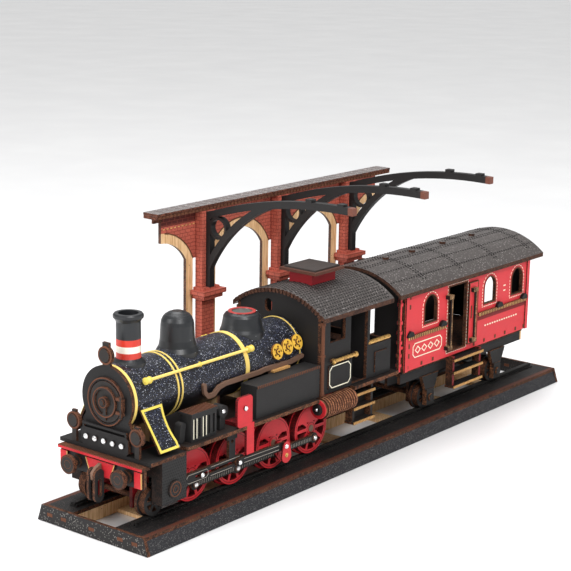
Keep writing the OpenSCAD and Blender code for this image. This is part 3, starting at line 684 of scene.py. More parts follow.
class Solid:
    """Collects closed shapes into one mesh, in millimetres.

    Attributes:
        shape: The mesh being built.
    """

    def __init__(self) -> None:
        """Start with nothing."""
        self.shape = bmesh.new()

    def prism(self, outline: Sequence[Point], place: Place, low: float, high: float) -> None:
        """Add a sheet of any outline.

        Args:
            outline: Corners of the sheet, in its own plane.
            place: Turns (across, up, lift) into a point of the row frame.
            low: Lift of the sheet's back.
            high: Lift of its front.
        """
        back = [self.shape.verts.new(place(u, v, low)) for u, v in outline]
        front = [self.shape.verts.new(place(u, v, high)) for u, v in outline]
        count = len(outline)
        self.shape.faces.new(back)
        self.shape.faces.new(list(reversed(front)))
        for i in range(count):
            j = (i + 1) % count
            self.shape.faces.new((back[i], front[i], front[j], back[j]))

    def ribbon(self, path: Sequence[Point], width: float, place: Place, lift: float, closed: bool) -> None:
        """Add a flat strip along a path, mitred at its corners.

        Args:
            path: Points of the strip's middle line.
            width: Width of the strip.
            place: Turns (across, up, lift) into a point of the row frame.
            lift: Thickness of the strip above the surface.
            closed: True where the path comes back to its start.
        """
        left, right = offset_path(path, width / 2, closed), offset_path(path, -width / 2, closed)
        last = len(path) if closed else len(path) - 1
        rings = []
        for a, b in zip(left, right):
            corners = (place(*a, -0.08), place(*b, -0.08), place(*b, lift), place(*a, lift))
            rings.append([self.shape.verts.new(corner) for corner in corners])
        for i in range(last):
            here, there = rings[i], rings[(i + 1) % len(rings)]
            for k in range(4):
                n = (k + 1) % 4
                self.shape.faces.new((here[k], here[n], there[n], there[k]))
        if not closed:
            self.shape.faces.new(list(reversed(rings[0])))
            self.shape.faces.new(rings[-1])

    def turned(self, profile: Sequence[Point], base: Vector, axis: Vector, sides: int = 20) -> None:
        """Add a turned shape from (distance along, radius) pairs.

        Args:
            profile: Places along the axis with the radius at each.
            base: Point where the axis starts.
            axis: Direction of the axis.
            sides: Number of sides round it.
        """
        along = axis.normalized()
        first = along.orthogonal().normalized()
        second = along.cross(first)
        rings = []
        for distance, radius in profile:
            ring = []
            for k in range(sides):
                turn = 2 * math.pi * k / sides
                out = first * math.cos(turn) + second * math.sin(turn)
                ring.append(self.shape.verts.new(base + along * distance + out * radius))
            rings.append(ring)
        for here, there in zip(rings, rings[1:]):
            for k in range(sides):
                n = (k + 1) % sides
                self.shape.faces.new((here[k], here[n], there[n], there[k]))
        self.shape.faces.new(list(reversed(rings[0])))
        self.shape.faces.new(rings[-1])

    def finish(self, name: str, smooth: bool = False) -> bpy.types.Object:
        """Turn the shapes into an object in metres.

        Args:
            name: Name of the piece.
            smooth: True for turned shapes.

        Returns:
            The object, at the origin.
        """
        bmesh.ops.recalc_face_normals(self.shape, faces=self.shape.faces)
        bmesh.ops.scale(self.shape, vec=(MM, MM, MM), verts=self.shape.verts)
        mesh = bpy.data.meshes.new(name)
        self.shape.to_mesh(mesh)
        self.shape.free()
        if smooth:
            mesh.shade_smooth()
            mesh.set_sharp_from_angle(angle=math.radians(35))
        return mesh_object(name, mesh)


def offset_path(path: Sequence[Point], away: float, closed: bool) -> list[Point]:
    """Points at a distance to one side of a path.

    Args:
        path: Points of the path.
        away: Distance, positive to the left.
        closed: True where the path comes back to its start.

    Returns:
        One point for each of the path's points.
    """
    count = len(path)
    found = []
    for i, here in enumerate(path):
        before = path[i - 1] if closed or i > 0 else None
        after = path[(i + 1) % count] if closed or i < count - 1 else None
        normals = []
        for start, end in ((before, here), (here, after)):
            if start is None or end is None:
                continue
            length = math.dist(start, end)
            normals.append(((start[1] - end[1]) / length, (end[0] - start[0]) / length))
        nx = sum(normal[0] for normal in normals) / len(normals)
        ny = sum(normal[1] for normal in normals) / len(normals)
        scale = away / max(nx * nx + ny * ny, 0.25)
        found.append((here[0] + nx * scale, here[1] + ny * scale))
    return found


def side_plane(y: float) -> Place:
    """Plane of a side sheet: across is X, up is Z, and lift goes outwards."""
    outwards = math.copysign(1.0, y)
    return lambda u, v, w: Vector((u, y + outwards * w, v))


def cross_plane(x: float, facing: float = -1.0) -> Place:
    """Plane of a cross sheet: across is Y, up is Z, and lift goes along facing."""
    return lambda u, v, w: Vector((x + facing * w, u, v))


def rectangle(x0: float, z0: float, x1: float, z1: float) -> list[Point]:
    """Corners of a rectangle."""
    return [(x0, z0), (x1, z0), (x1, z1), (x0, z1)]


def cut_corners(x0: float, z0: float, x1: float, z1: float, cut: float) -> list[Point]:
    """Corners of a rectangle with cut corners."""
    return [
        (x0 + cut, z0), (x1 - cut, z0), (x1, z0 + cut), (x1, z1 - cut),
        (x1 - cut, z1), (x0 + cut, z1), (x0, z1 - cut), (x0, z0 + cut),
    ]


def arc(x: float, z: float, radius: float, start: float, end: float, steps: int) -> list[Point]:
    """Points along an arc, with its angles in degrees."""
    turns = [math.radians(start + (end - start) * i / steps) for i in range(steps + 1)]
    return [(x + radius * math.cos(turn), z + radius * math.sin(turn)) for turn in turns]


def circle(x: float, z: float, radius: float, corners: int) -> list[Point]:
    """Corners of a closed circle."""
    return arc(x, z, radius, 0, 360 - 360 / corners, corners - 1)


def arched(x: float, z0: float, width: float, z1: float) -> list[Point]:
    """Outline of an opening with a round head."""
    radius = width / 2
    return [(x - radius, z0), (x + radius, z0), *arc(x, z1 - radius, radius, 0, 180, 10)]


def dashes(path: Sequence[Point], dash: float, gap: float) -> list[list[Point]]:
    """Short strips along a closed path, as stitches.

    Args:
        path: Corners of the path.
        dash: Length of a strip.
        gap: Distance between strips.

    Returns:
        Start and end of each strip.
    """
    found = []
    for start, end in zip(path, [*path[1:], path[0]]):
        length = math.dist(start, end)
        count = max(1, round(length / (dash + gap)))
        step = 1 / count
        share = dash / (dash + gap)
        for i in range(count):
            a, b = i * step, (i + share) * step
            first = tuple(s + (e - s) * a for s, e in zip(start, end))
            second = tuple(s + (e - s) * b for s, e in zip(start, end))
            found.append([first, second])
    return found


# ---------------------------------------------------------------- repetition


class Repeat:
    """A geometry tree that repeats one small shape, with named inputs."""

    name = "repeat"
    takes: tuple[tuple[str, str, object], ...] = ()

    def wire(self, wiring: Wiring, given: dict) -> bpy.types.NodeSocket:
        """Build the tree and return the geometry of the repeated shapes."""
        raise NotImplementedError

    def tree(self) -> bpy.types.NodeTree:
        """The tree, made on first use."""
        found = bpy.data.node_groups.get(self.name)
        if found is not None:
            return found
        made = bpy.data.node_groups.new(self.name, "GeometryNodeTree")
        made.interface.new_socket("Geometry", in_out="INPUT", socket_type="NodeSocketGeometry")
        for label, kind, default in self.takes:
            entry = made.interface.new_socket(label, in_out="INPUT", socket_type=kind)
            entry.default_value = default
        made.interface.new_socket("Material", in_out="INPUT", socket_type="NodeSocketMaterial")
        made.interface.new_socket("Geometry", in_out="OUTPUT", socket_type="NodeSocketGeometry")
        inside = made.nodes.new("NodeGroupInput")
        outside = made.nodes.new("NodeGroupOutput")
        wiring = Wiring(made)
        shapes = self.wire(wiring, {socket.name: socket for socket in inside.outputs})
        real = wiring.add("GeometryNodeRealizeInstances", {0: shapes}).outputs[0]
        inputs = {"Geometry": real, "Material": inside.outputs["Material"]}
        painted = wiring.add("GeometryNodeSetMaterial", inputs).outputs[0]
        made.links.new(painted, outside.inputs[0])
        return made

    def build(self, name: str, seed: bpy.types.Mesh, values: dict) -> bpy.types.Object:
        """Run the tree on a seed mesh and keep the result as a plain mesh.

        Args:
            name: Name of the finished piece.
            seed: Mesh that the tree starts from.
            values: The tree's inputs by name, with its material.

        Returns:
            The finished object, at the origin.
        """
        maker = mesh_object(f"{name}_maker", seed)
        modifier = maker.modifiers.new("repeat", "NODES")
        modifier.node_group = self.tree()
        for entry in modifier.node_group.interface.items_tree:
            if entry.in_out == "INPUT" and entry.name in values:
                modifier[entry.identifier] = values[entry.name]
        maker.update_tag()
        graph = bpy.context.evaluated_depsgraph_get()
        graph.update()
        mesh = bpy.data.meshes.new_from_object(maker.evaluated_get(graph), depsgraph=graph)
        mesh.name = name
        bpy.data.objects.remove(maker)
        return mesh_object(name, mesh)


class Studs(Repeat):
    """Bolt heads, rivets or knobs on points that each face their own way."""

    name = "studs_on_points"
    takes = (
        ("Radius", "NodeSocketFloat", 0.001),
        ("Top Radius", "NodeSocketFloat", 0.0008),
        ("Height", "NodeSocketFloat", 0.0004),
        ("Sides", "NodeSocketInt", 10),
    )

    def wire(self, wiring: Wiring, given: dict) -> bpy.types.NodeSocket:
        """A short cone on every point, turned to the point's facing."""
        inputs = {
            "Vertices": given["Sides"], "Radius Top": given["Top Radius"],
            "Radius Bottom": given["Radius"], "Depth": given["Height"],
        }
        stud = wiring.add("GeometryNodeMeshCone", inputs).outputs["Mesh"]
        facing = wiring.add("GeometryNodeInputNamedAttribute", {"Name": "facing"}, data_type="FLOAT_VECTOR")
        turned = wiring.add("FunctionNodeAlignRotationToVector", {"Vector": facing.outputs[0]}, axis="Z")
        inputs = {"Points": given["Geometry"], "Instance": stud, "Rotation": turned.outputs[0]}
        return wiring.add("GeometryNodeInstanceOnPoints", inputs).outputs[0]

    @staticmethod
    def seed(points: Iterable[Vector], facings: Iterable[Vector]) -> bpy.types.Mesh:
        """Mesh of loose points in millimetres, with a facing for each."""
        mesh = bpy.data.meshes.new("stud_points")
        mesh.from_pydata([point * MM for point in points], [], [])
        attribute = mesh.attributes.new("facing", "FLOAT_VECTOR", "POINT")
        for entry, facing in zip(attribute.data, facings):
            entry.vector = facing
        return mesh


class Slats(Repeat):
    """Even bars in one straight row."""

    name = "row_of_slats"
    takes = (
        ("Count", "NodeSocketInt", 10),
        ("Start", "NodeSocketVector", (0.0, 0.0, 0.0)),
        ("Step", "NodeSocketVector", (0.001, 0.0, 0.0)),
        ("Size", "NodeSocketVector", (0.001, 0.001, 0.001)),
    )

    def wire(self, wiring: Wiring, given: dict) -> bpy.types.NodeSocket:
        """A bar on every point of a line."""
        inputs = {"Count": given["Count"], "Start Location": given["Start"], "Offset": given["Step"]}
        line = wiring.add("GeometryNodeMeshLine", inputs, mode="OFFSET").outputs[0]
        bar = wiring.add("GeometryNodeMeshCube", {"Size": given["Size"]}).outputs["Mesh"]
        return wiring.add("GeometryNodeInstanceOnPoints", {"Points": line, "Instance": bar}).outputs[0]


class RoofStuds(Repeat):
    """Staggered studs wrapped over an arched roof."""

    name = "studs_on_roof"
    takes = (
        ("Columns", "NodeSocketInt", 20),
        ("Rows", "NodeSocketInt", 20),
        ("Start X", "NodeSocketFloat", 0.0),
        ("Pitch", "NodeSocketFloat", 0.002),
        ("Roof Radius", "NodeSocketFloat", 0.05),
        ("Roof Centre", "NodeSocketFloat", 0.05),
        ("Half Angle", "NodeSocketFloat", 0.6),
        ("Stud Radius", "NodeSocketFloat", 0.0005),
        ("Stud Height", "NodeSocketFloat", 0.0002),
    )

    def wire(self, wiring: Wiring, given: dict) -> bpy.types.NodeSocket:
        """A flat grid bent over the roof's curve, with a stud on each point."""
        one_less = [wiring.math("SUBTRACT", given[label], 1.0) for label in ("Columns", "Rows")]
        inputs = {
            "Size X": one_less[0], "Size Y": one_less[1],
            "Vertices X": given["Columns"], "Vertices Y": given["Rows"],
        }
        grid = wiring.add("GeometryNodeMeshGrid", inputs).outputs["Mesh"]
        place = wiring.add("GeometryNodeInputPosition").outputs[0]
        column, row, _ = wiring.split(place)
        from_end = wiring.math("MULTIPLY_ADD", one_less[0], 0.5, column)
        number = wiring.math("ROUND", wiring.math("MULTIPLY_ADD", one_less[1], 0.5, row))
        odd = wiring.math("MODULO", number, 2.0)
        shifted = wiring.math("MULTIPLY_ADD", odd, 0.5, from_end)
        x = wiring.math("MULTIPLY_ADD", shifted, given["Pitch"], given["Start X"])
        share = wiring.math("DIVIDE", wiring.math("MULTIPLY", row, 2.0), one_less[1])
        angle = wiring.math("MULTIPLY", share, given["Half Angle"])
        across, up = wiring.math("SINE", angle), wiring.math("COSINE", angle)
        y = wiring.math("MULTIPLY", across, given["Roof Radius"])
        z = wiring.math("MULTIPLY_ADD", up, given["Roof Radius"], given["Roof Centre"])
        target = wiring.add("ShaderNodeCombineXYZ", {0: x, 1: y, 2: z}).outputs[0]
        normal = wiring.add("ShaderNodeCombineXYZ", {0: 0.0, 1: across, 2: up}).outputs[0]
        kept = wiring.add("GeometryNodeStoreNamedAttribute", {"Geometry": grid, "Name": "facing"})
        kept.data_type = "FLOAT_VECTOR"
        wiring.feed(kept.inputs["Value"], normal)
        inputs = {"Geometry": kept.outputs[0], "Position": target}
        bent = wiring.add("GeometryNodeSetPosition", inputs).outputs[0]
        inputs = {
            "Vertices": 6, "Radius Top": wiring.math("MULTIPLY", given["Stud Radius"], 0.6),
            "Radius Bottom": given["Stud Radius"], "Depth": given["Stud Height"],
        }
        stud = wiring.add("GeometryNodeMeshCone", inputs).outputs["Mesh"]
        facing = wiring.add("GeometryNodeInputNamedAttribute", {"Name": "facing"}, data_type="FLOAT_VECTOR")
        turned = wiring.add("FunctionNodeAlignRotationToVector", {"Vector": facing.outputs[0]}, axis="Z")
        inputs = {"Points": bent, "Instance": stud, "Rotation": turned.outputs[0]}
        return wiring.add("GeometryNodeInstanceOnPoints", inputs).outputs[0]


# ------------------------------------------------------------------- palette

BLACK_INK = srgb(25, 23, 23)
CHARCOAL_INK = srgb(36, 35, 35)
RED_INK = srgb(190, 34, 42)
CORAL_INK = srgb(208, 54, 60)
BRICK_INK = srgb(172, 86, 70)
GREY_INK = srgb(68, 63, 61)
DEEP_RED = srgb(112, 24, 26)
CREAM = srgb(238, 232, 208)
YELLOW = srgb(222, 200, 90)
BARE = srgb(222, 180, 128)

FINISHES = {
    "ballast": PrintedPly("ballast_print", srgb(40, 40, 43), Faces.ALL, share=0.55, pitch=0.62,
                          fleck=srgb(96, 94, 94), relief=0.25),
    "deck": PrintedPly(
        "deck_print", srgb(24, 22, 22), Faces.FLAT, share=0.4, pitch=0.7, fleck=srgb(70, 62, 58), relief=0.2,
        patches=(Patch(srgb(84, 44, 30), y=(33.1, 36.5), folded=True),),
    ),
    "end_board": PrintedPly("end_board_print", srgb(34, 32, 32), Faces.CROSS, share=0.2, pitch=0.8),
    "rail": PrintedPly("rail_print", srgb(24, 22, 21), Faces.ALL, wear=0.9, share=0.2, pitch=0.7,
                       fleck=srgb(76, 70, 66), relief=0.15),
    "brick": BrickPly("brick_print", BRICK_INK, Faces.ALL),
    "brick_wall": BrickPly(
        "brick_print_wall", BRICK_INK, Faces.SIDE, char=srgb(44, 24, 18), toast=srgb(98, 54, 40),
        # Dark band along the top of the first bay: painted shadow of the roof board on the wall.
        patches=(Patch(srgb(84, 36, 32), x=(-110.0, -72.0), z=(138.0, 144.5)),),
    ),
    "cornice": PrintedPly(
        "cornice_print", srgb(110, 104, 103), Faces.FLAT, share=0.45, pitch=0.9,
        fleck=srgb(180, 172, 168), char=srgb(58, 32, 24), toast=srgb(120, 70, 52), relief=0.2,
    ),
    "arm": PrintedPly(
        "arm_print", srgb(24, 22, 22), Faces.ALL, sheen=0.1, roughness=0.5,
        patches=(Patch(srgb(106, 60, 46), y=(-62.0, -58.5)),),
    ),
    "bare_side": BareWood("bare_wood_side", Faces.SIDE),
    "bare_cross": BareWood("bare_wood_cross", Faces.CROSS_FLAT),
    "bare_any": BareWood("bare_wood_any", Faces.ALL),
    "black_side": PrintedPly("black_print_side", BLACK_INK, Faces.SIDE),
    "black_cross": PrintedPly("black_print_cross", BLACK_INK, Faces.CROSS),
    "black_platform": PrintedPly("black_print_platform", BLACK_INK, Faces.CROSS_FLAT),
    "charcoal_side": PrintedPly("charcoal_print_side", CHARCOAL_INK, Faces.SIDE),
    "charcoal_any": PrintedPly("charcoal_print_any", CHARCOAL_INK, Faces.ALL),
    "charcoal_cross": PrintedPly("charcoal_print_cross", srgb(38, 34, 32), Faces.CROSS),
    "footplate": PrintedPly("footplate_print", srgb(36, 28, 25), Faces.FLAT, toast=srgb(134, 84, 56)),
    "burnt": PrintedPly("burnt_ply", srgb(42, 28, 22), Faces.SIDE, toast=srgb(130, 80, 54), wear=0.9),
    "burnt_rings": PrintedPly(
        "burnt_rings", srgb(62, 36, 26), Faces.CROSS, toast=srgb(168, 112, 78), char=srgb(84, 50, 36),
        wear=0.9,
    ),
    "red_side": PrintedPly("red_print_side", RED_INK, Faces.SIDE, sheen=0.2, char=srgb(60, 10, 12),
                           toast=srgb(140, 24, 28)),
    "red_frame": PrintedPly("red_print_frame", srgb(150, 26, 32), Faces.SIDE, char=srgb(40, 12, 12),
                            toast=srgb(96, 28, 24)),
    "beam": PrintedPly("beam_print", RED_INK, Faces.CROSS, sheen=0.12, patches=(
        Patch(BLACK_INK, x=(-192.6, -180.0), z=(20.0, 40.3)),)),
    "coral": PrintedPly(
        "coral_print", CORAL_INK, Faces.BODY, sheen=0.12, wear=0.22, relief=0.04,
        patches=(Patch(srgb(30, 27, 27), x=(28.9, 171.0), y=(-28.05, 28.05)),),
    ),
    "door_steps": PrintedPly("door_step_print", DEEP_RED, Faces.SIDE_FLAT, patches=(
        Patch(BLACK_INK, z=(38.9, 40.5)), Patch(BLACK_INK, z=(30.9, 32.5)),
        Patch(BLACK_INK, z=(21.9, 23.5)))),
    "roof": PrintedPly(
        "roof_print", GREY_INK, Faces.FLAT, share=0.35, pitch=0.95, fleck=srgb(140, 134, 132), sheen=0.15,
        roughness=0.5, char=srgb(44, 28, 22), toast=srgb(96, 62, 46), relief=0.12,
    ),
    "ventilator": PrintedPly(
        "ventilator_print", srgb(140, 22, 30), Faces.ALL, patches=(
            Patch(srgb(84, 50, 38), z=(108.95, 110.62)), Patch(srgb(58, 52, 50), z=(110.62, 113.0))),
    ),
    "glitter": GlitterPrint("glitter_print", srgb(19, 19, 22), Faces.ALL, roughness=0.42, sheen=0.2),
    "glitter_cover": GlitterPrint("glitter_print_cover", srgb(19, 19, 22), Faces.SIDE, roughness=0.45,
                                  full_from=20.0, thin_below=10.0),
    "gold": PrintedPly("gold_print", YELLOW, Faces.ALL, wear=0.4, roughness=0.5, sheen=0.2),
    "gold_wheel": PrintedPly(
        "gold_wheel_print", srgb(226, 178, 66), Faces.SIDE, wear=0.6, roughness=0.5, char=srgb(92, 56, 24),
        toast=srgb(160, 108, 44),
    ),
    "mesh_side": MeshPly("mesh_print", CHARCOAL_INK, Faces.SIDE, char=srgb(20, 16, 15),
                         toast=srgb(50, 34, 27)),
    "cream": PrintedPly("cream_line", CREAM, Faces.ALL, wear=0.25, roughness=0.55),
    "dim": PrintedPly("dim_line", srgb(158, 150, 140), Faces.ALL, wear=0.4, roughness=0.6),
    "yellow": PrintedPly("yellow_line", YELLOW, Faces.ALL, wear=0.3, roughness=0.5),
    "toast": PrintedPly("toasted_edge", srgb(96, 58, 40), Faces.ALL, wear=1.1, roughness=0.8, relief=0.12),
    "straw": PrintedPly("straw_line", srgb(196, 150, 92), Faces.ALL, wear=0.9, roughness=0.6),
    "ink": PrintedPly("black_ink_line", srgb(22, 20, 20), Faces.ALL, wear=0.7, roughness=0.6),
    "maroon": PrintedPly("maroon_line", srgb(120, 28, 30), Faces.ALL, wear=0.5),
    "chimney": MouldedPlastic("chimney_plastic", patches=(
        Patch(srgb(206, 52, 34), z=(88.9, 91.9)), Patch(srgb(240, 232, 218), z=(91.9, 95.3)),
        Patch(srgb(206, 52, 34), z=(95.3, 98.8)))),
    "dome": MouldedPlastic("dome_plastic", patches=(
        Patch(srgb(170, 44, 40), x=(-100.0, -70.0), z=(96.05, 97.5)),
        Patch(srgb(74, 84, 80), x=(-90.0, -78.0), y=(-6.0, 6.0), z=(95.6, 96.06)))),
    "cab": PrintedPly("cab_print", BLACK_INK, Faces.BODY),
    "steps": PrintedPly("step_print", srgb(32, 27, 25), Faces.SIDE_FLAT, toast=srgb(128, 82, 54)),
    "sole": PrintedPly("sole_print", srgb(26, 24, 24), Faces.SIDE_FLAT, patches=(
        Patch(BARE, x=(178.9, 190.0), z=(29.9, 40.02)),)),
    "grab_rails": PrintedPly("grab_rail_print", srgb(26, 24, 23), Faces.CROSS, char=srgb(70, 46, 32),
                             toast=srgb(184, 146, 102)),
    "axle_boxes": PrintedPly("axle_box_print", srgb(26, 24, 23), Faces.SIDE, toast=srgb(140, 90, 58)),
    "red_any": PrintedPly("red_print_any", RED_INK, Faces.ALL, sheen=0.2),
    "coral_any": PrintedPly("coral_print_any", CORAL_INK, Faces.ALL, sheen=0.12, wear=0.3),
    "brass": Metal("brass", srgb(222, 178, 104), srgb(126, 84, 48)),
    "steel": Metal("plated_steel", srgb(240, 240, 240), srgb(160, 158, 156), roughness=0.26),
}


def finish(key: str) -> bpy.types.Material:
    """Material of a named finish."""
    return FINISHES[key].material()


def dress(frame: dict, node: str, key: str) -> None:
    """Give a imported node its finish.

    Args:
        node: Name of the node.
        key: Name of the finish.
    """
    slots = frame["nodes"][node].material_slots
    for slot in slots:
        slot.material = finish(key)
    LOG.info("dressed %s as %s", node, key)


def ready(piece: bpy.types.Object, key: str, body: str = "display") -> None:
    """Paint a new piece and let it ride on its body.

    Args:
        piece: The finished object.
        key: Name of the finish.
        body: Body that carries it.
    """
    if not piece.data.materials:
        piece.data.materials.append(finish(key))
    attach(piece, body)
    LOG.info("made %s, %d faces, on %s", piece.name, len(piece.data.polygons), body)


def bolts(
    name: str,
    spots: Sequence[tuple[Vector, Vector]],
    radius: float,
    body: str = "display",
    key: str = "steel",
) -> None:
    """Add small bolt heads.

    Args:
        name: Name of the piece.
        spots: Place and facing of each, in millimetres.
        radius: Radius of a head, in millimetres.
        body: Body that carries them.
        key: Name of the finish.
    """
    seed = Studs.seed([spot for spot, _ in spots], [facing for _, facing in spots])
    values = {
        "Radius": radius * MM, "Top Radius": radius * 0.72 * MM, "Height": 0.4 * MM,
        "Sides": 12, "Material": finish(key),
    }
    ready(Studs().build(name, seed, values), key, body)


def slats(name: str, row: dict, key: str, body: str = "display") -> None:
    """Add one row of bars.

    Args:
        name: Name of the piece.
        row: Count, Start, Step and Size of the row, in millimetres.
        key: Name of the finish.
        body: Body that carries them.
    """
    values = {"Count": row["Count"], "Material": finish(key)}
    for label in ("Start", "Step", "Size"):
        values[label] = tuple(part * MM for part in row[label])
    piece = Slats().build(name, bpy.data.meshes.new("row_start"), values)
    ready(piece, key, body)


def tread_edges(name: str, row: dict, heights: Sequence[float]) -> None:
    """Add upright ribs along the outer edge of each tread, on both sides.

    Args:
        name: Start of the pieces' names.
        row: Count, First, Y, Pitch and Width of the ribs, in millimetres.
        heights: Underside of each tread.
    """
    for side, hand in SIDES:
        for level, height in enumerate(heights):
            ribs = {
                "Count": row["Count"], "Start": (row["First"], side * row["Y"], height + 0.7),
                "Step": (row["Pitch"], 0, 0), "Size": (row["Width"], 0.6, 1.5),
            }
            slats(f"{name}_{hand}_{level}", ribs, "straw")


# --------------------------------------------------------------- assemblies


class Assembly:
    """One sub-assembly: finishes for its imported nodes, and its small pieces."""

    finishes: ClassVar[dict[str, str]] = {}

    def dress(self, frame: dict) -> None:
        """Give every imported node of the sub-assembly its finish."""
        for node, key in self.finishes.items():
            dress(frame, node, key)

    def build(self) -> None:
        """Add the small pieces."""
        raise NotImplementedError


@dataclass
class TrackBase(Assembly):
    """Ballasted base with its two rails.

    Attributes:
        half: Half the length of the base, in millimetres.
        rail_y: Distance of a rail from the centre line.
        foot_z: Height of the rail's foot.
        chair_pitch: Distance between the rail chairs.
    """

    half: float = 200.0
    rail_y: float = 21.0
    foot_z: float = 9.8
    chair_pitch: float = 2.1

    finishes: ClassVar[dict[str, str]] = {
        "ballast_sides": "ballast", "deck_plates": "deck", "track_bearers": "bare_any",
        "base_ends": "end_board", "rails": "rail",
    }

    def build(self) -> None:
        """Add the fine chairs along both rails and the tabs in the ends."""
        count = int((2 * self.half - 18) / self.chair_pitch)
        for side, name in SIDES:
            for step, edge in ((-1, "outer"), (1, "inner")):
                y = side * (self.rail_y - step * 1.9)
                row = {
                    "Count": count, "Start": (9 - self.half, y, self.foot_z + 0.35),
                    "Step": (self.chair_pitch, 0, 0), "Size": (1.0, 1.0, 0.8),
                }
                slats(f"rail_chairs_{name}_{edge}", row, "ink")
        for x, name in ((-self.half, "front"), (self.half, "rear")):
            tabs = Solid()
            inwards = -math.copysign(1.0, x)
            place = cross_plane(x, inwards)
            for y in (-30, -20, 0, 20, 30):
                tabs.prism(rectangle(y - 1.9, 3.6, y + 1.9, 5.4), place, 0.1, 1.9)
            ready(tabs.finish(f"base_tabs_{name}"), "toast")


@dataclass
class Station(Assembly):
    """Columns, arched wall, cantilever arms and roof board.

    Attributes:
        pitch: Distance between the columns, in millimetres.
        wall_y: Place of the wall's front face.
        board_z: Underside of the roof board.
        board_half: Half the length of the roof board.
        sign_z: Height of the round sign's middle.
    """

    pitch: float = 67.0
    wall_y: float = 45.0
    board_z: float = 144.0
    board_half: float = 108.5
    sign_z: float = 84.0

    finishes: ClassVar[dict[str, str]] = {
        "station_columns": "brick", "station_wall": "brick_wall", "arch_trims": "bare_side",
        "canopy_arms": "arm", "canopy_board": "cornice", "round_sign": "bare_side",
    }

    def build(self) -> None:
        """Add the dentils, the arches' burnt outlines and the sign's rim."""
        row = {
            "Count": 72, "Start": (2 - self.board_half, 39.75, self.board_z + 0.9),
            "Step": (3.0, 0, 0), "Size": (1.9, 0.5, 1.3),
        }
        slats("board_dentils", row, "toast")
        arches = Solid()
        for i in range(-2, 2):
            self.arch_line(arches, (i + 0.5) * self.pitch, 0.25, self.wall_face)
        ready(arches.finish("arch_outlines"), "toast")
        rim = Solid()
        ring = circle(self.pitch + 10, self.sign_z, 9.0, 60)
        rim.ribbon(ring, 1.0, lambda u, v, w: Vector((u, 36 - w, v)), 0.2, True)
        ready(rim.finish("sign_rim"), "toast")
        stitches = Solid()
        for k in range(9):
            x = -98.6 + k * 3.06
            stitches.prism(rectangle(x, 136.4, x + 1.5, 137.0), self.wall_face, -0.05, 0.15)
        ready(stitches.finish("wall_stitches"), "straw")

    def wall_face(self, u: float, v: float, w: float) -> Vector:
        """Point on the wall's front face, lifted towards the track."""
        return Vector((u, self.wall_y - w, v))

    def arch_line(self, solid: Solid, middle: float, lift: float, place: Place) -> None:
        """Burnt line where an arch trim meets the wall.

        Args:
            solid: Shape that takes the line.
            middle: Middle of the bay.
            lift: Thickness of the line.
            place: Plane of the wall's face.
        """
        half, rise, spring = 26.6, 17.6, 117.0
        radius = (half * half + rise * rise) / (2 * rise)
        centre = spring + rise - radius
        reach = math.degrees(math.acos(half / radius))
        curve = arc(middle, centre, radius, reach, 180 - reach, 20)
        line = [(x, z) for x, z in curve if -99.5 < x < 99.5]
        solid.ribbon(line, 0.7, place, lift, False)


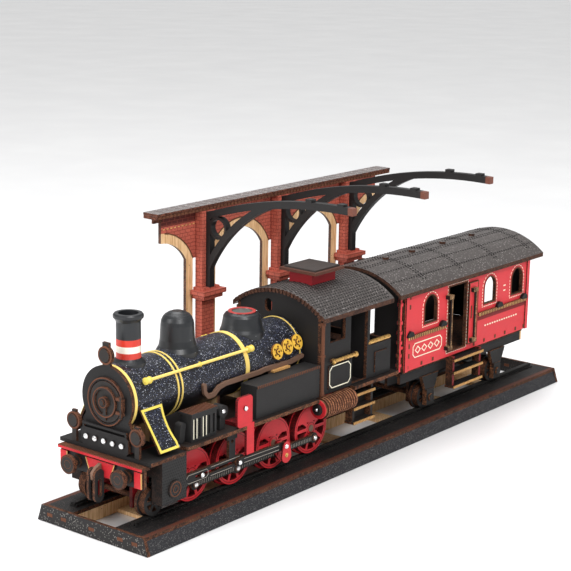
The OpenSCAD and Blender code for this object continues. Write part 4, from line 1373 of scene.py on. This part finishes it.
@dataclass
class Chassis(Assembly):
    """Frames, footplate, buffer beam, lamps and what hangs on them.

    Attributes:
        plate_x: Front face of the bolt plate, in millimetres.
        plate_z: Height of the plate's row of bolts.
        beam_face_x: Front face of the plates on the buffer beam.
        buffer_x: Front face of the buffers.
        buffer_y: Distance of a buffer from the centre line.
        buffer_z: Height of the buffers.
        lamp_x: Front face of the two lower lamps.
        lamp_y: Distance of a lower lamp from the centre line.
        lamp_z: Height of the lower lamps.
        top_lamp_x: Front face of the top lamp.
        top_lamp_z: Height of the top lamp.
        block_x: Place of the ornament on a cylinder block.
        block_y: Outer face of a cylinder block.
        block_z: Height of the ornament.
    """

    plate_x: float = -190.0
    plate_z: float = 48.8
    beam_face_x: float = -193.2
    buffer_x: float = -199.0
    buffer_y: float = 17.5
    buffer_z: float = 34.5
    lamp_x: float = -190.0
    lamp_y: float = 22.0
    lamp_z: float = 55.0
    top_lamp_x: float = -189.0
    top_lamp_z: float = 93.0
    block_x: float = -173.0
    block_y: float = 32.8
    block_z: float = 26.5

    finishes: ClassVar[dict[str, str]] = {
        "loco_frame": "red_frame", "footplate": "footplate", "front_platform": "black_platform",
        "buffer_beam": "beam", "buffers": "charcoal_cross", "coupling_hook": "burnt",
        "coupling_link": "charcoal_side", "cylinder_blocks": "mesh_side", "slide_bars": "black_side",
        "motion_brackets": "red_side", "head_lamps": "charcoal_cross",
    }

    def build(self) -> None:
        """Add bolts, rims and beading of the front."""
        front = Vector((-1, 0, 0))
        spots = [(Vector((self.plate_x - 0.9, i * 6.2, self.plate_z)), front) for i in range(-2, 3)]
        bolts("front_plate_bolts", spots, 1.5)
        self.rims()
        self.beam_edge()
        self.cylinder_ornament()

    def rims(self) -> None:
        """Burnt rims on buffers and lamps."""
        rims = Solid()
        for y in (-self.buffer_y, self.buffer_y):
            rims.ribbon(circle(y, self.buffer_z, 4.5, 48), 0.8, cross_plane(self.buffer_x), 0.0, True)
            rims.ribbon(circle(y, self.buffer_z, 2.2, 24), 0.4, cross_plane(self.buffer_x), 0.0, True)
        for y in (-self.lamp_y, self.lamp_y):
            rims.ribbon(circle(y, self.lamp_z, 4.1, 48), 0.9, cross_plane(self.lamp_x), 0.25, True)
        rims.ribbon(circle(0, self.top_lamp_z, 4.3, 48), 0.9, cross_plane(self.top_lamp_x), 0.25, True)
        ready(rims.finish("lamp_and_buffer_rims"), "toast")

    def beam_edge(self) -> None:
        """Striped top edge of the beam and the cream sides of its centre plate."""
        row = {"Count": 40, "Start": (-191.0, -28.6, 41.6), "Step": (0, 1.47, 0), "Size": (6.4, 0.75, 0.5)}
        slats("beam_top_stripes", row, "toast")
        lines = Solid()
        face = cross_plane(self.beam_face_x)
        for ends in ([(-10, 39), (-7, 31)], [(10, 39), (7, 31)]):
            lines.ribbon(ends, 0.6, face, 0.2, False)
        for y in (-28.4, 23.6):
            lines.ribbon([(y, 30.8), (y, 38.8)], 0.6, face, 0.2, False)
        ready(lines.finish("beam_plate_lines"), "straw")

    def cylinder_ornament(self) -> None:
        """Round ornament and the cover's edge on each cylinder block."""
        rings = Solid()
        for y in (-self.block_y, self.block_y):
            rings.ribbon(circle(self.block_x, self.block_z, 3.8, 48), 0.5, side_plane(y), 0.2, True)
            rings.ribbon(circle(self.block_x, self.block_z, 1.8, 24), 0.4, side_plane(y), 0.2, True)
        ready(rings.finish("cylinder_ornaments"), "toast")


@dataclass
class Motion(Assembly):
    """Wheels, axles, rods and guide bars.

    Attributes:
        driver_xs: Places of the driving axles, in millimetres.
        driver_z: Height of the driving axles.
        crank: Throw of the crank pins.
        pin_y: Outer end of a crank pin's head.
        crank_y: Outer face of a return crank.
        bar_y: Outer face of the guide bars.
        main_rod_y: Outer face of the main rods.
        wheel_y: Outer face of a driving wheel.
        small_wheel_y: Outer end of the small wheels' hubs.
        small_wheel_z: Height of the small wheels' axles.
    """

    driver_xs: tuple[float, ...] = (-150.5, -117.3, -84.1, -50.9)
    driver_z: float = 26.0
    crank: float = 5.0
    pin_y: float = 26.7
    crank_y: float = 32.0
    bar_y: float = 29.7
    main_rod_y: float = 31.2
    wheel_y: float = 23.2
    small_wheel_y: float = 24.4
    small_wheel_z: float = 19.0

    finishes: ClassVar[dict[str, str]] = {
        **{f"driving_wheels_{i}": "red_side" for i in range(1, 5)},
        **{f"driving_axle_{i}": "burnt" for i in range(1, 5)},
        "return_cranks": "red_side", "coupling_rod_near": "black_side", "coupling_rod_far": "black_side",
        "leading_wheelset": "charcoal_side", "carriage_wheelset_front": "charcoal_side",
        "carriage_wheelset_rear": "charcoal_side",
    }

    def build(self) -> None:
        """Add the bolt heads, wheel rings and rod lines."""
        sides = (Vector((0, -1, 0)), Vector((0, 1, 0)))
        outer = self.crank_y + 0.85
        for i, x in enumerate(self.driver_xs, start=1):
            y = outer if i == 3 else self.pin_y
            spots = [(Vector((x, side.y * y, self.driver_z - self.crank)), side) for side in sides]
            bolts(f"crank_bolts_{i}", spots, 1.35, f"driver_{i}", "brass" if i == 3 else "steel")
            self.wheel_rings(i, x)
        spots = [(Vector((self.driver_xs[2], side.y * outer, self.driver_z)), side) for side in sides]
        bolts("return_crank_bolts", spots, 1.35, "driver_3")
        self.crank_faces()
        spots = [(Vector((-150, side.y * 30.5, self.driver_z + 1)), side) for side in sides]
        spots += [(Vector((-122, side.y * 32.0, self.driver_z + 0.6)), side) for side in sides]
        spots += [(Vector((-119.5, side.y * 33.6, 56)), side) for side in sides]
        bolts("guide_bolts", spots, 1.3)
        for name, x in (("leading_pair", -178.6), ("carriage_pair_front", 62), ("carriage_pair_rear", 139)):
            spots = [
                (Vector((x, side.y * self.small_wheel_y, self.small_wheel_z)), side) for side in sides
            ]
            bolts(f"hub_bolts_{name}", spots, 1.2, name)
        self.guide_lines()
        self.rod_lines()

    def crank_faces(self) -> None:
        """Red pear-shaped plate over each return crank."""
        x, high, low = self.driver_xs[2], self.driver_z, self.driver_z - self.crank
        plates = Solid()
        outline = [*arc(x, low, 4.2, 190, 350, 16), *arc(x, high, 2.9, 10, 170, 12)]
        for y in (-self.crank_y, self.crank_y):
            plates.prism(outline, side_plane(y), -0.02, 0.8)
        ready(plates.finish("return_crank_faces"), "red_side", "driver_3")

    def wheel_rings(self, number: int, x: float) -> None:
        """Dark groove lines on one pair of driving wheels."""
        rings = Solid()
        for y in (-self.wheel_y, self.wheel_y):
            rings.ribbon(circle(x, self.driver_z, 13.2, 60), 0.35, side_plane(y), 0.1, True)
            rings.ribbon(circle(x, self.driver_z, 3.4, 24), 0.35, side_plane(y), 0.1, True)
        ready(rings.finish(f"wheel_rings_{number}"), "maroon", f"driver_{number}")

    def guide_lines(self) -> None:
        """Pale flute lines on the guide bars and main rods."""
        lines = Solid()
        z = self.driver_z
        for y in (-self.bar_y, self.bar_y):
            lines.ribbon(cut_corners(-161.3, z - 1.2, -145, z + 3.2, 1.2), 0.25, side_plane(y), 0.12, True)
            lines.ribbon([(-143, z + 3.3), (-120, z + 3.3)], 0.25, side_plane(y), 0.12, False)
            lines.ribbon([(-143, z - 1.3), (-126, z - 1.3)], 0.25, side_plane(y), 0.12, False)
        for y in (-self.main_rod_y, self.main_rod_y):
            for shift in (-1.1, 1.1):
                ends = [(-118, z + 0.6 + shift), (-89, z + 0.1 + shift)]
                lines.ribbon(ends, 0.25, side_plane(y), 0.12, False)
        ready(lines.finish("guide_bar_lines"), "dim")

    def rod_lines(self) -> None:
        """Fine ticks along the coupling rods."""
        z = self.driver_z - self.crank
        for body, y in (("rod_near", -25.85), ("rod_far", 25.85)):
            row = {"Count": 66, "Start": (-147.5, y, z), "Step": (1.44, 0, 0), "Size": (0.25, 0.12, 2.0)}
            slats(f"{body}_ticks", row, "dim", body)


@dataclass
class Boiler(Assembly):
    """Boiler with its fittings, chimney and domes.

    Attributes:
        radius: Outer radius of the boiler, in millimetres.
        axis_z: Height of its axis.
        cover_top: Upper edge of a steam-pipe cover, as distance out and height.
        cover_foot: Lower edge of the cover.
        cover_x: Front end of the cover.
        smokebox_x: Front face of the smokebox.
        rail_turn: Angle of the handrails from the top, in degrees.
    """

    radius: float = 17.0
    axis_z: float = 70.0
    cover_top: Point = (17.4, 69.0)
    cover_foot: Point = (30.5, 46.0)
    cover_x: float = -183.0
    smokebox_x: float = -189.0
    rail_turn: float = 57.5

    finishes: ClassVar[dict[str, str]] = {
        "boiler_barrel": "glitter", "boiler_formers": "bare_cross", "smokebox_front": "black_cross",
        "smokebox_door": "charcoal_cross", "boiler_bands": "gold", "chimney": "chimney",
        "boiler_domes": "dome", "boiler_handrails": "gold", "valve_wheels": "gold_wheel",
        "feed_pipes": "burnt", "steam_pipe_covers": "glitter_cover", "air_pumps": "charcoal_any",
    }

    def build(self) -> None:
        """Add outlines, knobs and small fittings."""
        self.cover_outlines()
        self.door_rings()
        self.pump_fins()
        self.injector_steps()
        self.valve_hubs()
        self.rail_knobs()

    def cover_outlines(self) -> None:
        """Yellow outline on each steam-pipe cover."""
        (y0, z0), (y1, z1) = self.cover_top, self.cover_foot
        length = math.dist(self.cover_top, self.cover_foot)
        down = ((y1 - y0) / length, (z1 - z0) / length)
        line = Solid()
        path = [(0.7, 3.0), (2.5, length - 1.2), *self.rear_edge(length)]
        for side in (-1.0, 1.0):

            def place(u: float, v: float, w: float, hand: float = side) -> Vector:
                """Point on the cover from across, down and lift."""
                y = y0 + down[0] * v - down[1] * w
                z = z0 + down[1] * v + down[0] * w
                return Vector((self.cover_x + u, hand * y, z))

            line.ribbon(path, 1.3, place, 0.2, True)
        ready(line.finish("cover_outlines"), "yellow")

    def rear_edge(self, length: float) -> list[Point]:
        """Hollow rear edge of a cover, from foot to top."""
        found = []
        for k in range(9):
            down = length - 1.2 - (length - 4.2) * k / 8
            hollow = 45.4 - math.sqrt(31.6**2 - (down - length * 0.45) ** 2)
            found.append((min(hollow, 15.6) - 0.8, down))
        return found

    def door_rings(self) -> None:
        """Burnt rings round the smokebox and its door."""
        z = self.axis_z - 1
        rings = Solid()
        rings.ribbon(circle(0, z, 12.2, 60), 0.6, cross_plane(self.smokebox_x), 0.2, True)
        rings.ribbon(circle(0, z, 7.6, 48), 0.6, cross_plane(self.smokebox_x - 1), 0.2, True)
        rings.ribbon(circle(0, z, 2.6, 24), 0.5, cross_plane(self.smokebox_x - 2), 0.2, True)
        for height in (z + 2.6, z - 4.6):
            strap = rectangle(-13.2, height + 0.1, -8.2, height + 1.5)
            rings.prism(strap, cross_plane(self.smokebox_x - 1), 0.0, 0.25)
        ready(rings.finish("door_rings"), "toast")

    def pump_fins(self) -> None:
        """Pale fin edges, domed cap and bolt of each air pump."""
        for side, name in SIDES:
            for pair, x in enumerate((-156.6, -149.4)):
                start = (x, side * 30.1, 53.0)
                row = {"Count": 2, "Start": start, "Step": (2.4, 0, 0), "Size": (0.4, 0.3, 10.5)}
                slats(f"pump_fins_{name}_{pair}", row, "cream")
            start = (-157.8, side * 25.9, 61.3)
            row = {"Count": 12, "Start": start, "Step": (1.7, 0, 0), "Size": (0.7, 8.8, 0.5)}
            slats(f"pump_lid_ribs_{name}", row, "toast")
        spots = [(Vector((-131, side * 28.0, 56)), Vector((0, side, 0))) for side in (-1, 1)]
        bolts("pump_bolts", spots, 1.2)

    def injector_steps(self) -> None:
        """Small bare-wood steps below the valve wheels."""
        for side, name in SIDES:
            for level, height in enumerate((62.2, 65.2)):
                row = {
                    "Count": 9, "Start": (-81.2, side * 20.2, height), "Step": (1.6, 0, 0),
                    "Size": (1.2, 2.2, 1.1),
                }
                slats(f"injector_steps_{name}_{level}", row, "straw")

    def valve_hubs(self) -> None:
        """Dark hub and rim of each valve wheel."""
        hubs = Solid()
        for x, turn in ((-75, 76), (-66, 73), (-57.3, 70)):
            for side in (-1, 1):
                angle = math.radians(turn)
                out = Vector((0, side * math.sin(angle), math.cos(angle)))
                base = Vector((x, 0, self.axis_z)) + out * (self.radius + 1.7)
                hubs.turned([(0, 1.9), (0.25, 1.9)], base, out, 16)
                hubs.turned([(0.5, 0.7), (1.2, 0.6)], base, out, 10)
        ready(hubs.finish("valve_hubs"), "toast")

    def rail_knobs(self) -> None:
        """Double knobs at the handrail ends and the clip in the middle."""
        knobs = Solid()
        along = Vector((1, 0, 0))
        angle = math.radians(self.rail_turn)
        reach = self.radius + 2
        for side in (-1, 1):
            y, z = side * reach * math.sin(angle), self.axis_z + reach * math.cos(angle)
            for x in (-177.6, -174.8, -98.4, -95.6):
                knobs.turned([(0, 0.9), (0.4, 1.9), (1.1, 1.9), (1.5, 0.9)], Vector((x, y, z)), along, 14)
            knobs.turned([(0, 1.1), (0.3, 1.5), (1.0, 1.1)], Vector((-136.5, y, z)), along, 12)
        ready(knobs.finish("handrail_knobs", smooth=True), "yellow")


@dataclass
class Cab(Assembly):
    """Cab, side tanks, bunker, roof and steps.

    Attributes:
        wall_y: Outer face of the side sheets, in millimetres.
        roof_radius: Radius of the roof's upper face.
        roof_centre: Height of the centre of the roof's curve.
        rail_z: Height of the handrails beside the doors.
        bunker_rail_z: Height of the bunker's rail.
        reservoir_y: Distance of a reservoir from the centre line.
        reservoir_z: Height of the reservoirs.
    """

    wall_y: float = 30.0
    roof_radius: float = 51.375
    roof_centre: float = 51.625
    rail_z: float = 64.5
    bunker_rail_z: float = 67.4
    reservoir_y: float = 31.4
    reservoir_z: float = 39.7

    finishes: ClassVar[dict[str, str]] = {
        "side_tanks": "charcoal_any", "cab_walls": "cab", "cab_roof": "roof",
        "roof_ventilator": "ventilator", "air_reservoirs": "burnt_rings", "cab_steps": "steps",
    }

    def build(self) -> None:
        """Add outlines, rails, posts and roof studs."""
        self.outlines()
        self.rails_and_posts()
        self.roof_studs()
        self.reservoir_caps()
        self.treads()
        self.tank_edge()

    def outlines(self) -> None:
        """Cream line on each side panel."""
        lines = Solid()
        for y in (-self.wall_y - 0.8, self.wall_y + 0.8):
            lines.ribbon(cut_corners(-44.4, 49.1, -25.1, 61.4, 2.2), 0.55, side_plane(y), 0.12, True)
        ready(lines.finish("cab_panel_lines"), "cream")

    def rails_and_posts(self) -> None:
        """Brass handrails, bunker rail and the corner posts."""
        rails = Solid()
        posts = Solid()
        along = Vector((1, 0, 0))
        up = Vector((0, 0, 1))
        for side in (-1, 1):
            y = side * (self.wall_y + 1.6)
            beads = [(k * 1.25, 1.15 if k % 2 else 0.95) for k in range(17)]
            rails.turned(beads, Vector((-42, y, self.rail_z)), along, 12)
            for x in (-43.2, -22.4):
                knob = [(0, 0.9), (0.5, 1.7), (1.4, 1.7), (1.9, 0.9)]
                rails.turned(knob, Vector((x, y, self.rail_z)), along, 12)
            beads = [(k * 1.2, 1.3 if k % 2 else 1.15) for k in range(19)]
            rails.turned(beads, Vector((-7, side * 29.0, self.bunker_rail_z)), along, 12)
            corner = side * (self.wall_y + 0.2)
            collars = [(0, 1.5), (2, 1.5), (2.2, 1.2), (22, 1.2), (22.2, 1.6), (23.4, 1.6), (23.6, 1.2),
                       (40, 1.2), (40.2, 1.6), (42, 1.6)]
            posts.turned(collars, Vector((-50.6, corner, 46.2)), up, 10)
        ready(rails.finish("cab_rails", smooth=True), "brass")
        ready(posts.finish("cab_corner_posts"), "toast")

    def roof_studs(self) -> None:
        """Staggered rivets over the whole roof."""
        values = {
            "Columns": 28, "Rows": 33, "Start X": -51.6 * MM, "Pitch": 2.25 * MM,
            "Roof Radius": (self.roof_radius - 0.02) * MM, "Roof Centre": self.roof_centre * MM,
            "Half Angle": 0.655, "Stud Radius": 0.72 * MM, "Stud Height": 0.26 * MM,
            "Material": finish("ink"),
        }
        piece = RoofStuds().build("cab_roof_studs", bpy.data.meshes.new("roof_start"), values)
        ready(piece, "ink")

    def reservoir_caps(self) -> None:
        """Red disc, black cap and bolt at the front of each reservoir."""
        discs, caps = Solid(), Solid()
        front = Vector((-1, 0, 0))
        for side in (-1, 1):
            base = Vector((-54.4, side * self.reservoir_y, self.reservoir_z))
            discs.turned([(0, 5.3), (0.5, 5.5), (1.0, 5.3)], base, front, 24)
            caps.turned([(0.8, 3.4), (2.0, 3.2), (2.4, 2.4)], base, front, 20)
        ready(discs.finish("reservoir_discs"), "red_any")
        ready(caps.finish("reservoir_caps"), "ink")
        spots = [
            (Vector((-56.8, side * self.reservoir_y, self.reservoir_z)), front) for side in (-1, 1)
        ]
        bolts("reservoir_bolts", spots, 0.9)

    def treads(self) -> None:
        """Brass-coloured edge ribs on the steps."""
        row = {"Count": 15, "First": -21.6, "Y": 31.9, "Pitch": 1.37, "Width": 0.7}
        tread_edges("cab_treads", row, (39.0, 31.0, 22.5))

    def tank_edge(self) -> None:
        """Toothed brown edge along the top of each side tank."""
        for side, name in SIDES:
            start = (-106.4, side * 30.4, 63.6)
            row = {"Count": 36, "Start": start, "Step": (1.5, 0, 0), "Size": (0.8, 0.6, 1.4)}
            slats(f"tank_edge_{name}", row, "toast")


@dataclass
class Carriage(Assembly):
    """Carriage body, roof, steps and running gear covers.

    Attributes:
        wall_y: Outer face of the side walls, in millimetres.
        start: Front end of the walls.
        end: Rear end of the walls.
        windows: Middles of the side windows.
        door: Front and rear edge of the doorway.
        waist_z: Height of the waist rails.
        stripe: Distance between the stripes of a waist rail.
        roof_radius: Radius of the roof's upper face.
        roof_centre: Height of the centre of the roof's curve.
    """

    wall_y: float = 30.0
    start: float = 29.0
    end: float = 170.0
    windows: tuple[float, ...] = (56.0, 122.5, 155.0)
    door: Span = (75.5, 95.5)
    waist_z: float = 62.5
    stripe: float = 1.9
    roof_radius: float = 51.375
    roof_centre: float = 51.625

    finishes: ClassVar[dict[str, str]] = {
        "carriage_frame": "sole", "carriage_walls": "coral", "carriage_roof": "roof",
        "carriage_handrails": "grab_rails", "door_steps": "door_steps", "axle_boxes": "axle_boxes",
    }

    def build(self) -> None:
        """Add stitching, waist rails, line ornament and roof studs."""
        self.stitching()
        self.waist_rails()
        self.panels()
        self.sliding_door()
        self.roof_lines()
        self.treads()
        self.sole_slots()

    def sides(self, lift: float = 0.0) -> Iterable[Place]:
        """Planes of the two side walls, lifted by a distance."""
        for y in (-self.wall_y - lift, self.wall_y + lift):
            yield side_plane(y)

    def stitching(self) -> None:
        """Cream stitches round windows and doorway."""
        stitches = Solid()
        frames = Solid()
        for place in self.sides():
            for x in self.windows:
                for strip in dashes(arched(x, 66.2, 17.0, 86.6), 1.3, 0.8):
                    stitches.ribbon(strip, 0.45, place, 0.1, False)
                frames.ribbon(arched(x, 67.7, 13.6, 84.9), 0.6, place, 0.35, True)
            outline = rectangle(self.door[0] - 1.2, 44.2, self.door[1] + 1.2, 87.0)
            for strip in dashes(outline, 1.3, 0.8):
                stitches.ribbon(strip, 0.45, place, 0.1, False)
            outline = rectangle(self.door[0] - 0.3, 44.8, self.door[1] + 0.3, 86.2)
            frames.ribbon(outline, 0.7, place, 0.35, True)
        ready(stitches.finish("window_stitches"), "cream")
        ready(frames.finish("window_frames"), "toast")

    def waist_rails(self) -> None:
        """Striped rails along the waist, with their dark brackets."""
        spans = ((self.start + 3, self.door[0] - 2), (self.door[1] + 14, self.end - 3))
        for side, name in SIDES:
            for number, (first, last) in enumerate(spans):
                for key, shift, width in (("straw", 0.0, 0.6), ("toast", 0.95, 1.3)):
                    row = {
                        "Count": int((last - first) / self.stripe),
                        "Start": (first + shift, side * (self.wall_y + 1.4), self.waist_z),
                        "Step": (self.stripe, 0, 0), "Size": (width, 0.9, 2.0),
                    }
                    slats(f"waist_{key}_{name}_{number}", row, key)
        brackets = Solid()
        below = Solid()
        for place in self.sides(0.2):
            for x in (self.start + 4.5, self.door[0] - 7, 133.0, self.end - 7):
                brackets.prism([*arc(x, 63.2, 3.4, 0, 180, 10)], place, 0.0, 1.9)
            below.ribbon([(spans[1][0], 59.4), (spans[1][1] + 1, 59.4)], 2.2, place, 0.1, False)
        ready(brackets.finish("waist_brackets"), "ink")
        ready(below.finish("waist_shadow_lines"), "maroon")

    def panels(self) -> None:
        """Neutral line ornament on the lower panels."""
        lines = Solid()
        for place in self.sides():
            lines.ribbon(cut_corners(38.5, 49.0, 69.0, 57.6, 2.0), 0.6, place, 0.1, True)
            for k in range(4):
                x = 43.5 + k * 6.8
                diamond = [(x, 51.2), (x + 2.6, 53.3), (x, 55.4), (x - 2.6, 53.3)]
                lines.ribbon(diamond, 0.6, place, 0.1, True)
            for strip in dashes([(118, 53.6), (158, 53.6)], 1.6, 1.3)[:14]:
                lines.ribbon(strip, 0.9, place, 0.1, False)
            lines.ribbon([(138.8, 72.6), (141.2, 72.6)], 0.8, place, 0.1, False)
            lines.ribbon([(138.8, 75.8), (141.2, 75.8)], 0.8, place, 0.1, False)
        ready(lines.finish("panel_lines"), "cream")

    def sliding_door(self) -> None:
        """Door leaf pushed back beside its opening."""
        leaf, bars = Solid(), Solid()
        first, last = self.door[1] + 1.6, self.door[1] + 12.0
        for place in self.sides():
            leaf.prism(rectangle(first, 45.6, last, 85.0), place, 0.0, 0.9)
            bars.ribbon(rectangle(first + 0.3, 45.9, last - 0.3, 84.7), 0.6, place, 1.1, True)
            bars.ribbon([(first + 3.0, 62), (first + 3.0, 70)], 1.0, place, 1.3, False)
        ready(leaf.finish("door_leaves"), "coral_any")
        ready(bars.finish("door_edges"), "toast")

    def roof_lines(self) -> None:
        """Lines of rivets along and across the roof."""
        radius, centre = self.roof_radius, self.roof_centre
        spots = []
        for angle in (-0.5, -0.3, -0.11, -0.065, 0.065, 0.11, 0.3, 0.5):
            for k in range(62):
                spots.append((21.5 + k * 2.6, angle))
        for x in (50.5, 53.0, 90.0, 92.5, 130.0, 132.5, 170.0, 172.5):
            for k in range(29):
                spots.append((x, -0.56 + k * 0.04))
        points, facings = [], []
        for x, angle in spots:
            out = Vector((0, math.sin(angle), math.cos(angle)))
            points.append(Vector((x, 0, centre)) + out * (radius - 0.03))
            facings.append(out)
        values = {
            "Radius": 0.6 * MM, "Top Radius": 0.4 * MM, "Height": 0.32 * MM, "Sides": 6,
            "Material": finish("ink"),
        }
        piece = Studs().build("carriage_roof_rivets", Studs.seed(points, facings), values)
        ready(piece, "ink")

    def treads(self) -> None:
        """Ribbed edges of the door steps."""
        row = {"Count": 21, "First": 78.0, "Y": 34.6, "Pitch": 1.58, "Width": 0.85}
        tread_edges("door_treads", row, (39.0, 31.0, 22.0))

    def sole_slots(self) -> None:
        """Small dark tabs along the lower edge of the walls."""
        tabs = Solid()
        for place in self.sides():
            for x in (33, 48, 60, 106, 118, 131, 143, 156, 166):
                tabs.prism(rectangle(x - 0.8, 43.0, x + 0.8, 45.2), place, -0.05, 0.25)
            for z in (50, 56, 80, 86):
                tabs.prism(rectangle(32.6, z, 33.8, z + 2.6), place, -0.05, 0.9)
        ready(tabs.finish("wall_tabs"), "toast")


@dataclass
class Studio:
    """Plain floor, soft lights and the camera.

    Attributes:
        camera_at: Place of the camera, in metres.
        right: Camera's direction to the right.
        up: Camera's upward direction.
        lens: Focal length for a 36 mm sensor.
        floor_half: Half the width of the floor.
    """

    camera_at: tuple[float, float, float] = (-0.75106, -0.56142, 0.31867)
    right: tuple[float, float, float] = (0.62609, -0.77958, 0.01616)
    up: tuple[float, float, float] = (0.17125, 0.15769, 0.97251)
    lens: float = 104.41
    floor_half: float = 6.0

    def build(self) -> None:
        """Set up floor, lights and camera."""
        self.floor()
        self.lights()
        self.camera()
        bpy.context.scene.view_settings.view_transform = "Standard"

    def floor(self) -> None:
        """Pale glossy table that fades into the distance."""
        half = self.floor_half
        mesh = bpy.data.meshes.new("table")
        below = -0.0002
        corners = [(-half, -half, below), (half, -half, below), (half, half, below), (-half, half, below)]
        mesh.from_pydata(corners, [], [(0, 1, 2, 3)])
        table = mesh_object("table", mesh)
        made = bpy.data.materials.new("table_top")
        made.use_nodes = True
        wiring = Wiring(made.node_tree)
        shader = made.node_tree.nodes["Principled BSDF"]
        shader.inputs["Specular IOR Level"].default_value = 0.6
        haze = wiring.noise(wiring.millimetres(), 0.01, 2.0)
        colour = wiring.blend(haze, rgba((0.86, 0.86, 0.87)), rgba((0.9, 0.9, 0.9)))
        wiring.feed(shader.inputs["Base Color"], colour)
        wiring.feed(shader.inputs["Roughness"], wiring.span(haze, 0.16, 0.24))
        mesh.materials.append(made)

    def lights(self) -> None:
        """White surroundings, an overhead glow and soft boxes."""
        world = bpy.data.worlds.new("studio")
        world.use_nodes = True
        world.node_tree.nodes["Background"].inputs["Color"].default_value = (1.0, 1.0, 1.0, 1.0)
        world.node_tree.nodes["Background"].inputs["Strength"].default_value = 0.5
        bpy.context.scene.world = world
        glow = bpy.data.lights.new("glow", "SUN")
        glow.energy = 1.5
        glow.angle = math.radians(50)
        self.hang(glow, (0.25, 0.45, 2.0))
        for name, place, side, power in (
            ("key", (-0.55, -0.9, 1.1), 0.6, 15.0),
            ("top", (0.1, 0.3, 1.4), 1.0, 8.0),
            ("left", (-1.3, 0.35, 0.6), 0.6, 9.0),
        ):
            lamp = bpy.data.lights.new(name, "AREA")
            lamp.size = side
            lamp.energy = power
            self.hang(lamp, place)

    def hang(self, lamp: bpy.types.Light, place: tuple[float, float, float]) -> None:
        """Put a lamp in its place and aim it at the model."""
        holder = bpy.data.objects.new(lamp.name, lamp)
        holder.location = place
        aim = Vector((0.0, 0.0, 0.05)) - Vector(place)
        holder.rotation_euler = aim.to_track_quat("-Z", "Y").to_euler()
        bpy.context.scene.collection.objects.link(holder)

    def camera(self) -> None:
        """Camera at the working view."""
        eye = bpy.data.cameras.new("camera")
        eye.sensor_width = 36.0
        eye.lens = self.lens
        eye.clip_start, eye.clip_end = 0.05, 30.0
        right, up = Vector(self.right).normalized(), Vector(self.up).normalized()
        back = right.cross(up)
        holder = bpy.data.objects.new("camera", eye)
        turn = Matrix((right, up, back)).transposed()
        holder.matrix_world = Matrix.Translation(self.camera_at) @ turn.to_4x4()
        bpy.context.scene.collection.objects.link(holder)
        bpy.context.scene.camera = holder


def main() -> None:
    """Load the frame, dress and build every assembly, and set the stage."""
    logging.basicConfig(level=logging.INFO, format="%(name)s: %(message)s")
    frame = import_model()
    for assembly in (TrackBase(), Station(), Chassis(), Motion(), Boiler(), Cab(), Carriage()):
        LOG.info("building %s", type(assembly).__name__)
        assembly.dress(frame)
        assembly.build()
    Studio().build()


if __name__ == "__main__":
    main()
